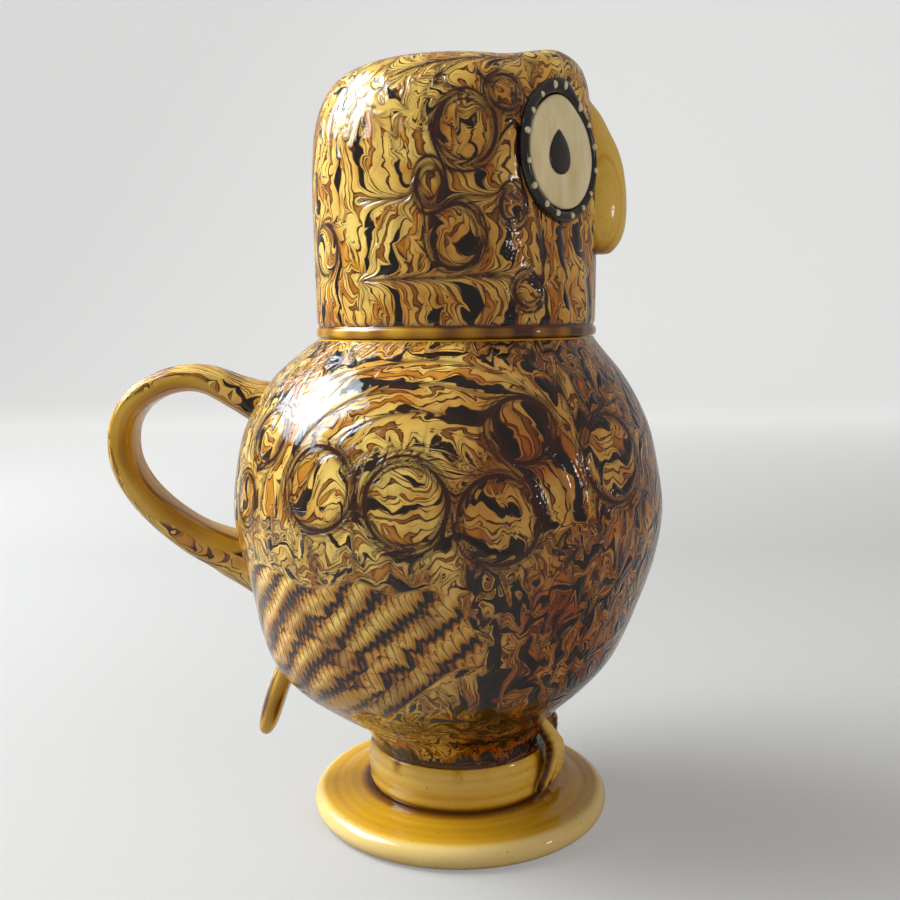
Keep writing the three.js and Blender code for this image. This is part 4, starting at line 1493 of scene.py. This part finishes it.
# %% Plate, band and pad
around_eye = 96
eye_hub = 1
plate_depth = 1.2
pad_lift = 1.6
band_line = np.concatenate([
    straight((eye_hub, -plate_depth), (ring_radius - 0.4, -plate_depth), 8),
    arc((crest, 0.35), ring_width / 2 + 0.15, -40, 180, 22),
    straight((eye_radius - 0.2, 0.2), (eye_hub, 0.2), 8),
])
pad_crown = [(eye_radius - 2, 1.62), (eye_radius * 0.7, 1.66), (eye_radius * 0.35, 1.62),
             (eye_hub, pad_lift)]
pad_line = np.concatenate([
    straight((eye_hub, -0.4), (eye_radius - 0.4, -0.4), 8),
    arc((eye_radius - 0.75, 0.75), 0.8, -60, 80, 10),
    through(pad_crown, 26),
])


def make_plate_and_pad(name, side):
    """The black plate with its raised band and the cream pad on it, both with an edge cut by hand."""
    for kind, profile, seed, waver, finish, slot, node in (
            ("eye_band", band_line, 31, 0.02, black_finish, "black_slip", "eye_ring"),
            ("eye_pad", pad_line, 41, 0.016, cream_finish, "cream_glaze", "eye_disc")):
        rings = laid_on_face(flat_disc(profile, around_eye, hand_cut(seed + side, waver)), side)
        make_piece(f"{name}_{kind}", [rings], "head", [f"{name}_{node}"], [finish])


for name, side in sides:
    make_plate_and_pad(name, side)

# %% Pupil and dots
pupil_height, pupil_width, pupil_offset, pupil_thickness = 11.8, 9.6, 2.5, 0.75
pupil_sink = 0.1
around_pupil = 64
drop_power, drop_widest = 0.7, 0.82
band_lift = 1.7
dot_radius, dot_rise, dot_sink = 0.88, 0.8, 0.5
dot_count, around_dot = 16, 14


def make_pupil(name, side):
    """A round button drawn to a blunt point: its half width goes with sin(t) * sin(t / 2)^0.7 of the turn t
    from the top."""
    profile = np.concatenate([
        straight((0.05, 0), (0.9, 0), 5), arc((0.9, 0.5), 0.1, -60, 50, 5),
        through([(0.9, 0.72), (0.6, 0.94), (0.3, 1.0), (0.05, 1.0)], 14)])
    turn = np.linspace(0, 2 * np.pi, around_pupil, endpoint=False)
    from_top = np.arctan2(np.abs(np.sin(turn)), np.cos(turn))
    drop = np.sin(turn) * np.sin(from_top / 2) ** drop_power / drop_widest
    across = side * pupil_offset + profile[:, :1] * drop * pupil_width / 2
    rise = profile[:, :1] * np.cos(turn) * pupil_height / 2
    off = np.broadcast_to(pad_lift - pupil_sink + profile[:, 1:] * pupil_thickness, across.shape)
    rings = laid_on_face(np.stack([across, rise, off], axis=2), side)
    make_piece(f"{name}_pupil_drop", [rings], "head", [f"{name}_pupil"], [black_finish])


def make_dots(name, side):
    """Sixteen drops of cream slip on the band, each a little dome of its own size."""
    chance = np.random.default_rng(60 + side)
    swell = np.linspace(0, np.pi / 2, 6)[:-1]
    shells = []
    for number in range(dot_count):
        turn = 2 * np.pi * (number + 0.5 + chance.uniform(-0.16, 0.16)) / dot_count
        size = dot_radius * chance.uniform(0.88, 1.12)
        profile = np.stack([size * np.cos(swell), dot_rise * size * np.sin(swell)], axis=1)
        dome_rings = flat_disc(np.concatenate([[(size, -dot_sink)], profile]), around_dot)
        away = crest + chance.uniform(-0.25, 0.25)
        dome_rings += (away * np.cos(turn), away * np.sin(turn), band_lift)
        shells.append(laid_on_face(dome_rings, side))
    nodes = [f"{name}_eye_bead_{number + 1}" for number in range(dot_count)]
    make_piece(f"{name}_eye_dots", shells, "head", nodes, [dot_finish])


for name, side in sides:
    make_pupil(name, side)
    make_dots(name, side)

# %% [markdown]
# ## The beak
#
# A long lump of soft clay hangs from between the brows. Seen from the side it swells out and is fullest
# low down, and it ends in a round tip. Its rings are ovals whose reach and width follow the height, and
# they grow narrower towards the front, as a beak does. A finger left a faint drop-shaped ridge on it.

# %% Make the beak
beak_reach = 8.9
beak_half = corners("beak")[1][0]
beak_bottom, beak_top = 23.8, 71.0
beak_shares = [
    (0, 0.3, 0.2), (0.012, 0.5, 0.45), (0.07, 0.77, 0.75), (0.15, 0.94, 0.95), (0.25, 1, 1),
    (0.35, 1, 0.95), (0.45, 0.95, 0.82), (0.55, 0.86, 0.68), (0.65, 0.69, 0.57), (0.75, 0.42, 0.5),
    (0.86, 0.1, 0.44), (1, -0.5, 0.32),
]
around_beak = 96
beak_taper = 0.2
drop_middle, drop_half = 0.3, 0.24
drop_turn, drop_turn_half = 1.15, 0.42
ridge_height = 0.2
beak_thin, beak_tip_pool, beak_side_pool, drop_pool = 0.22, 0.28, 0.14, 0.2

beak_line = even(through(beak_shares, 500) * (beak_top - beak_bottom, beak_reach, beak_half), 120)
beak_turn = np.linspace(0, 2 * np.pi, around_beak, endpoint=False)
beak_share = beak_line[:, :1] / (beak_top - beak_bottom)
beak_base = head_radius - head_wall * (0.5 + 1.4 * ease(beak_share, 0.65, 1))
front = np.maximum(np.cos(beak_turn), 0)
beak_out = head_radius + beak_line[:, 1:2] - beak_base
to_drop_side = (np.abs(beak_turn - np.pi) - np.pi + drop_turn) / drop_turn_half
from_drop = np.hypot((beak_share - drop_middle) / drop_half, to_drop_side)
drop_ridge = hill(from_drop, 1, 0.12) + 0.2 * hill(from_drop, 0.55, 0.1)
beak_swell = 1 + ridge_height * drop_ridge / np.maximum(beak_out, 2)
beak_rings = np.stack([
    beak_line[:, 2:3] * np.sin(beak_turn) * (1 - beak_taper * front) * beak_swell,
    -beak_base - beak_out * np.cos(beak_turn) * beak_swell,
    np.broadcast_to(head_seat + beak_bottom + beak_line[:, :1], (len(beak_line), around_beak)),
], axis=2)
drop_edge = hill(from_drop, 1.22, 0.1) + 0.3 * hill(from_drop, 0.78, 0.08)
beak_pool = beak_thin + beak_tip_pool * hill(beak_share, 0, 0.07)
beak_pool = beak_pool + beak_side_pool * (1 - front) + drop_pool * drop_edge
beak_coat = np.stack([np.ones_like(beak_pool), beak_pool, np.zeros_like(beak_pool)], axis=2)
make_piece("beak_lump", [beak_rings], "head", ["beak"], [honey_finish],
           {"coat": [beak_coat]})

# %% [markdown]
# ## The foot
#
# The jug stands on a flat thrown disc with a round edge, and a low collar lifts the belly off it. Both
# keep faint rings from the thrower's fingers. The glaze ran down and gathered where the collar meets
# the disc, so the pool is deepest there and thinnest on the disc's edge.

# %% Thrown rings
foot_edge = 7.2
foot_rise = foot_top - foot_edge
edge_round = foot_edge / 2
collar_end = collar_widest - 1.1
around_foot = 240
disc_rings_size, disc_rings_pitch = 0.07, 6.1
collar_rings_size, collar_rings_pitch = 0.13, 5.2


def thrown(line, size, pitch):
    """The rings of the fingers: the line moved square to itself by a sine of the distance along it."""
    slope = np.gradient(line, axis=0)
    slope /= np.linalg.norm(slope, axis=1, keepdims=True)
    wave = size * np.sin(2 * np.pi * run_along(line) / pitch)
    return line + wave[:, None] * np.stack([slope[:, 1], -slope[:, 0]], axis=1)


def coat_of(pool, around):
    """The coat's facts for plain glaze whose depth changes only along the profile, or at every point."""
    depth = pool if np.ndim(pool) == 2 else np.broadcast_to(pool[:, None], (len(pool), around))
    return np.stack([np.ones_like(depth), depth, np.zeros_like(depth)], axis=2)


print("foot disc:", round(foot_radius, 2), "mm out,", foot_edge, "mm at its edge")

# %% Make the foot disc
wiped_rows = 14
flat_end = foot_radius - edge_round - 0.5
disc_top = through([
    (flat_end, foot_edge), (foot_radius - 7, foot_edge + 0.25),
    (collar_widest + 7, foot_edge + foot_rise * 0.5), (collar_widest + 2.5, foot_top - 1.0),
    (collar_widest, foot_top - 0.5), (collar_end - 3, foot_top)], 200)
disc_line = np.concatenate([
    straight((hub_radius, 0), (flat_end, 0), wiped_rows),
    arc((foot_radius - edge_round, edge_round), edge_round, -90, 90, 40),
    thrown(even(disc_top, 70), disc_rings_size, disc_rings_pitch),
    straight((collar_end - 4, foot_top), (hub_radius, foot_top), 8),
])
from_axis = disc_line[:, 0]
disc_pool = 0.46 + 0.56 * hill(from_axis, collar_widest, 2.2) + 0.12 * hill(from_axis, collar_widest + 9, 5)
disc_pool += 0.025 * np.sin(from_axis * 2.1) - 0.4 * ease(from_axis, foot_radius - 4.5, foot_radius - 1.2)
disc_pool += 0.34 * (1 - ease(disc_line[:, 1], 0.3, 2.6))
make_piece("foot_disc_glazed", [turned(disc_line, around_foot)], "jug", ["foot_disc"],
           [honey_finish, clay_finish], {"coat": [coat_of(disc_pool, around_foot)]},
           np.arange(len(disc_line) - 1) < wiped_rows)

# %% Make the foot collar
collar_low = foot_top - 0.4
drip_strength, drip_sharpness = 0.6, 3
collar_side = through([
    (collar_end + 0.3, collar_low), (collar_widest - 0.4, foot_top + 1.4), (collar_widest, foot_top + 5),
    (collar_widest - 0.3, foot_top + 9), (collar_end, body_seat - 0.2)], 200)
collar_line = np.concatenate([
    straight((hub_radius, collar_low), (collar_end, collar_low), 8),
    thrown(even(collar_side, 60), collar_rings_size, collar_rings_pitch),
    straight((collar_end - 0.4, body_seat), (hub_radius, body_seat), 8),
])
collar_height = collar_line[:, 1]
collar_pool = 0.28 + 0.6 * (1 - ease(collar_height, foot_top - 0.2, foot_top + 1.8))
collar_pool += 0.1 * np.sin((collar_height - foot_top) * 1.2) ** 2
collar_turn = np.linspace(-np.pi, np.pi, around_foot, endpoint=False)
drips = np.maximum(np.sin(5 * collar_turn + 0.8) * np.sin(13 * collar_turn), 0) ** drip_sharpness
near_top = ease(collar_height, body_seat - 5.5, body_seat - 0.5)
collar_pool = collar_pool[:, None] + drip_strength * drips * near_top[:, None]
make_piece("foot_collar_glazed", [turned(collar_line, around_foot)], "jug", ["foot_collar"],
           [honey_finish], {"coat": [coat_of(collar_pool, around_foot)]})

# %% [markdown]
# ## The handle and the tail
#
# Both were pulled from a lump of clay: wetted and drawn out long, they get an oval section and fine
# lines along their length. The handle was pressed on at the shoulder, bowed down and smeared into the
# belly. It was combed on its outer face only; the rest shows the honey glaze.

# %% Make the handle
handle_reach = 102.2
handle_width, handle_thickness = 17.0, 7.8
handle_shares = [
    (-0.5, 0.82), (-0.2, 0.842), (0.03, 0.87), (0.27, 0.902), (0.474, 0.907), (0.68, 0.89),
    (0.866, 0.854), (0.973, 0.803), (1, 0.738), (0.954, 0.679), (0.83, 0.619), (0.649, 0.564),
    (0.43, 0.516), (0.204, 0.483), (0.05, 0.462), (-0.3, 0.43),
]
handle_bow = handle_reach - belly_radius
root_wider, root_thicker, low_thicker = 0.6, 2, 0.25
strap_softness = 0.75
around_handle = 88

handle_points = [(0, belly_radius + handle_bow * out, body_seat + body_height * up)
                 for out, up in handle_shares]
handle_path = even(through(handle_points, 600), 220)
handle_share = np.linspace(0, 1, len(handle_path))
to_root = np.abs(2 * handle_share - 1) ** 5
wide = handle_width * (1 + root_wider * to_root)
thick = handle_thickness * (1 + low_thicker * ease(handle_share, 0.5, 0.85) + root_thicker * to_root)
handle_rings = swept(handle_path, (1, 0, 0), wide, thick, strap_softness, around_handle)
section_turn = np.linspace(0, 2 * np.pi, around_handle, endpoint=False)
pulled_lines = 0.1 * np.sin(7 * section_turn + 1) + 0.06 * np.sin(13 * section_turn)
outward = handle_rings - handle_path[:, None]
handle_rings += outward / np.linalg.norm(outward, axis=2, keepdims=True) * pulled_lines[None, :, None]
print("handle:", round(run_along(handle_path)[-1], 1), "mm along its middle")

# %% The handle's coat
handle_calm = 0.15
handle_squeeze, handle_shift, handle_sway = 3.4, 40, 5
handle_run = run_along(handle_path)[:, None]
section_out, section_side = np.sin(section_turn)[None], np.cos(section_turn)[None]
sideways = wide[:, None] / 2 * section_side
to_hand = section_out - 1.1 * to_root[:, None] ** 0.4
handle_veil = ease(to_hand + 0.14 * np.sin(handle_run * 0.23), -0.4, -0.12)
handle_bands = banded(sideways * handle_squeeze + handle_shift + handle_sway * np.sin(handle_run / 9))
handle_across = np.broadcast_to(handle_run, sideways.shape)
handle_slip = np.dstack([handle_bands, np.full_like(sideways, -handle_calm)])
handle_pool = 0.45 + 0.16 * section_side ** 2 * np.sin(handle_run * 0.11) ** 2
handle_pool = handle_pool + 0.12 * np.sin(3 * section_turn + 0.6)[None]
low_line = hill(section_side - 0.15 * np.sin(handle_run / 5), -0.35, 0.09) * (section_out > 0)
low_line = low_line * ease(handle_share[:, None], 0.5, 0.6)
handle_coat = np.stack([handle_veil, handle_pool + 0.4 * low_line, low_line], axis=2)
make_piece("handle_strap", [handle_rings], "jug", ["handle"], [marbled_finish],
           {"slip": [handle_slip], "across": [handle_across], "coat": [handle_coat]})

# %% Make the tail
tail_width, tail_thickness, tail_length = 15.0, 6.5, 30.5
tail_bow = 0.65
tail_softness = 0.8
tail_squeeze, tail_shift, tail_calm = 2.6, 6, 0.3
around_tail = 64
tail_slant = 20 * degree
tail_height = body_seat + body_height * 0.235
tail_back = np.interp(tail_height, outer_line[:, 1], outer_line[:, 0]) + lean_at(tail_height)
tail_root = np.array([0, tail_back - tail_thickness, tail_height])
tail_down = np.array([0, math.sin(tail_slant), -math.cos(tail_slant)])
tail_points = [tail_root, tail_root + tail_down * tail_length / 2 + (0, tail_bow, 0),
               tail_root + tail_down * tail_length]
tail_path = even(through(tail_points, 300), 110)
tail_share = np.linspace(0, 1, len(tail_path))
tail_end = np.sqrt(np.maximum(1 - tail_share ** 9, 0.002))
tail_rings = swept(tail_path, (1, 0, 0), tail_width * tail_end, tail_thickness * tail_end, tail_softness,
                   around_tail)
tail_turn = np.linspace(0, 2 * np.pi, around_tail, endpoint=False)
tail_shape = (len(tail_path), around_tail)
tail_across = np.broadcast_to(tail_width / 2 * np.cos(tail_turn), tail_shape)
tail_bands = banded(tail_across * tail_squeeze + tail_shift)
tail_slip = np.dstack([tail_bands, np.full_like(tail_across, -tail_calm)])
tail_along = np.broadcast_to(run_along(tail_path)[:, None], tail_shape)
tail_streak = hill(np.cos(tail_turn)[None], -0.8, 0.2) * hill(tail_share[:, None], 0.62, 0.2)
tail_veil = ease(np.sin(tail_turn)[None], -0.85, -0.2) * (1 - 0.6 * tail_streak)
tail_pool = 0.45 + 0.1 * np.cos(tail_turn)[None] + 0.5 * tail_streak
tail_coat = np.stack([tail_veil, tail_pool, tail_streak], axis=2)
make_piece("tail_lug", [tail_rings], "jug", ["tail"], [marbled_finish],
           {"slip": [tail_slip], "across": [tail_along], "coat": [tail_coat]})

# %% [markdown]
# ## The feet
#
# Each foot is three bent toes of clay, rolled thin, joined at their root and laid over the collar so
# that their tips rest on the disc. A toe is the same kind of strap as the handle, but round.

# %% Make the feet
toe_width, toe_thickness, toe_arch = 3.9, 3.9, 2.1
foot_angle, toe_spread = 28 * degree, 10.5 * degree
claw_rise = 8.5
toe_clearance = 0.3
toe_drop = body_seat - foot_top
# A toe's bends: how far along it, how far out as a share of its arch, and how far down the collar.
toe_bends = [(0.3, 0.75, -0.17), (0.62, 1, 0.27), (0.88, 0.55, 0.66)]
toe_lean = 0.8
toe_softness = 0.9
toe_rings, around_toe = 70, 32
nick_size, nick_pitch = 0.04, 62


def around_axis(angle, radius, height):
    """A point by its turn, in radians, its distance from the axis and its height."""
    return np.array([radius * np.sin(angle), -radius * np.cos(angle), height])


def toe(side, spread):
    """One toe, from under the belly over the collar to its tip on the disc."""
    out = collar_end + toe_clearance + toe_thickness / 2

    def at(share, arch, height):
        turn = side * foot_angle * (toe_lean + (1 - toe_lean) * share) + spread * toe_spread * share
        return around_axis(turn, out + toe_arch * arch, height)

    root_turn = side * foot_angle * toe_lean
    root_height = body_seat + claw_rise
    root_radius = np.interp(root_height, outer_line[:, 1], outer_line[:, 0]) - toe_thickness / 2
    root = around_axis(root_turn, root_radius, root_height) + (0, lean_at(root_height), 0)
    bends = [at(share, arch, body_seat - toe_drop * drop) for share, arch, drop in toe_bends]
    tip = at(1, 0, foot_top + toe_clearance + 0.3 * toe_thickness)
    path = even(through([root, *bends, tip], 300), toe_rings)
    share = np.linspace(0, 1, len(path))
    knuckle = 1 + 0.12 * hill(share, 0.45, 0.1)
    knuckle += nick_size * np.sin(nick_pitch * share + 2 * spread) * ease(share, 0.12, 0.25)
    end = np.sqrt(np.maximum(1 - 0.8 * share ** 4 - 0.195 * share ** 24, 0.003)) * knuckle
    across = (np.cos(side * foot_angle), np.sin(side * foot_angle), 0)
    return swept(path, across, toe_width * end, toe_thickness * end, toe_softness, around_toe)


toe_sides = np.abs(np.cos(np.linspace(0, 2 * np.pi, around_toe, endpoint=False))) ** 4
# Darker towards each toe's tip and on its sides, where it lies beside the next toe.
toe_darkening = 0.26 + 0.5 * ease(np.linspace(0, 1, toe_rings), 0.8, 1.0)[:, None] + 0.75 * toe_sides
for name, side in sides:
    toes = [toe(side, spread) for spread in (-1, 0, 1)]
    make_piece(f"{name}_toes", toes, "jug", [f"{name}_foot"], [honey_finish],
               {"coat": [coat_of(toe_darkening, around_toe)] * 3})

# %% [markdown]
# ## Floor, light and camera
#
# The stage is plain: a pale floor that runs up into a pale wall, one large soft window high on the
# handle's side, a small one on the owl's front side for the sparks in the glaze, and dim light from all
# round. Floor, wall and air look pale to the camera, and at half strength where the glaze mirrors them;
# that paleness lights nothing. The camera stands close and looks slightly down.

# %% Floor and wall
floor_near, floor_far = -1.2, 1.6
cove_radius = 0.4
wall_heights = (1.2, 2.4)
half_width = 3
mirrored_share = 0.5
plaster_dark, plaster_rise = 0.25, 0.4


def make_stage():
    """A floor that curves up into a wall: a profile of depth and height, carried sideways."""
    cove_turn = np.linspace(0, np.pi / 2, 16)[1:]
    wall_depth = floor_far + cove_radius
    cove_depth = floor_far + cove_radius * np.sin(cove_turn)
    depth = np.concatenate([np.linspace(floor_near, floor_far, 12), cove_depth, [wall_depth] * 2])
    height = np.concatenate([np.zeros(12), cove_radius * (1 - np.cos(cove_turn)), wall_heights])
    width = np.linspace(-half_width, half_width, 8)
    grid = np.stack(np.broadcast_arrays(depth[:, None], width[None], height[:, None]), axis=2)
    count, across = grid.shape[:2]
    row, column = np.meshgrid(np.arange(count - 1), np.arange(across - 1), indexing="ij")
    start = (row * across + column).ravel()
    faces = np.stack([start, start + 1, start + across + 1, start + across], axis=1)
    mesh = bpy.data.meshes.new("stage_floor")
    mesh.from_pydata(grid.reshape(-1, 3).tolist(), [], faces[:, ::-1].tolist())
    mesh.polygons.foreach_set("use_smooth", np.ones(len(faces), bool))
    floor = bpy.data.objects.new("stage_floor", mesh)
    bpy.context.scene.collection.objects.link(floor)
    mesh.materials.append(stage_plaster())


def stage_plaster():
    """Plaster that takes the jug's shadow, and that grows paler upwards and towards the back."""
    plaster = Glaze("stage_plaster", {
        "Roughness": 0.9, "Base Color": colour(148, 144, 138), "Emission Strength": 1.0})
    height, depth = (plaster.split(plaster.place(), axis) for axis in "ZX")
    rise = (height * 3 + (depth - 0.35) * 1.2).held()
    paleness = plaster.seen_rays(mirrored_share) * (plaster_dark + plaster_rise * rise)
    plaster.feed("Emission Color", plaster.joined(paleness, paleness, paleness))
    return plaster.material


make_stage()
print("stage: floor from", floor_near, "to", floor_far, "m, wall up to", wall_heights[-1], "m")

# %% Lamps and the room
to_window = (0.13, 0.78, 0.61)
room_dark, room_bright, room_pale = 0.03, 0.18, 0.8
window_place = np.array(to_window) * 1.05 + (0, 0, 0.12)
sky_shift = (-0.16, 0.02, 0.12)
# Each lamp: name, place, the height it faces, its sides, its watts, its tint, and whether it is mirrored.
lamps = (
    ("window", window_place, 0.13, (0.9, 0.7), 15.0, (0.78, 0.89, 1.0), True),
    ("window_pane", window_place * 0.98, 0.13, (0.55, 0.4), 7.0, (0.8, 0.9, 1.0), True),
    ("window_fill", window_place * 0.99, 0.13, (1.3, 1.0), 9.0, (1.0, 0.98, 0.94), False),
    ("window_sky", window_place * 0.97 + sky_shift, 0.14, (0.34, 0.42), 1.2, (0.88, 0.94, 1.0), True),
    ("side_window", (-0.37, -0.85, 0.27), 0.1, (0.05, 0.13), 0.32, (1.0, 0.98, 0.95), True),
    ("room_fill", (-0.52, -0.8, 0.42), 0.16, (1.0, 0.8), 4.3, (1.0, 0.97, 0.92), False),
)


def lamp(name, place, target_height, size, power, tint, mirrored):
    """A rectangular soft lamp at a place, in metres, that faces a height on the jug's axis. One that
    stands in for the light of a whole room isn't mirrored in the glaze."""
    data = bpy.data.lights.new(name, "AREA")
    data.shape = "RECTANGLE"
    data.size, data.size_y = size
    data.energy = power
    data.color = tint
    made = bpy.data.objects.new(name, data)
    made.location = place
    made.rotation_mode = "QUATERNION"
    towards = Vector((0, 0, target_height)) - Vector(place)
    made.rotation_quaternion = towards.to_track_quat("-Z", "Y")
    made.visible_glossy = mirrored
    bpy.context.scene.collection.objects.link(made)


def room():
    """The world: pale where the camera sees it, and for light a dim room, brighter towards the window."""
    world = bpy.data.worlds.new("room")
    bpy.context.scene.world = world
    world.use_nodes = True
    air = Nodes(world.node_tree)
    place = air.node("ShaderNodeTexCoord", {}, {}, "Generated")
    settings = {"operation": "DOT_PRODUCT"}
    towards = air.node("ShaderNodeVectorMath", settings, {0: place, 1: to_window}, "Value")
    glow = room_dark + (towards * 0.6 + 0.4).held() * room_bright
    background = air.tree.nodes["Background"]
    background.inputs["Color"].default_value = colour(232, 230, 226)
    air.give(background.inputs["Strength"], glow + air.seen_rays(mirrored_share) * (room_pale - glow))


for facts in lamps:
    lamp(*facts)
room()
print("lamps:", len(lamps), "with", round(sum(facts[4] for facts in lamps), 2), "W in all")

# %% Camera
camera_distance = 0.3135
camera_height = 0.15334
look_down = 0.129
picture_side = 900
focal_pixels = 1029.75
axis_pixel = 457.2
camera_roll = 0.0098

aside = (axis_pixel - picture_side / 2) / focal_pixels
heading = Vector((math.cos(look_down) * math.cos(aside), math.cos(look_down) * math.sin(aside),
                  -math.sin(look_down)))
camera_data = bpy.data.cameras.new("camera")
camera_data.sensor_width = 36.0
camera_data.lens = camera_data.sensor_width * focal_pixels / picture_side
camera_data.clip_start = 0.01
camera = bpy.data.objects.new("camera", camera_data)
camera.location = (-camera_distance, 0, camera_height)
camera.rotation_mode = "QUATERNION"
camera.rotation_quaternion = heading.to_track_quat("-Z", "Y") @ Quaternion((0, 0, 1), -camera_roll)
bpy.context.scene.collection.objects.link(camera)
bpy.context.scene.camera = camera
bpy.context.scene.view_settings.view_transform = "Standard"
print("camera lens:", round(camera_data.lens, 2), "mm")
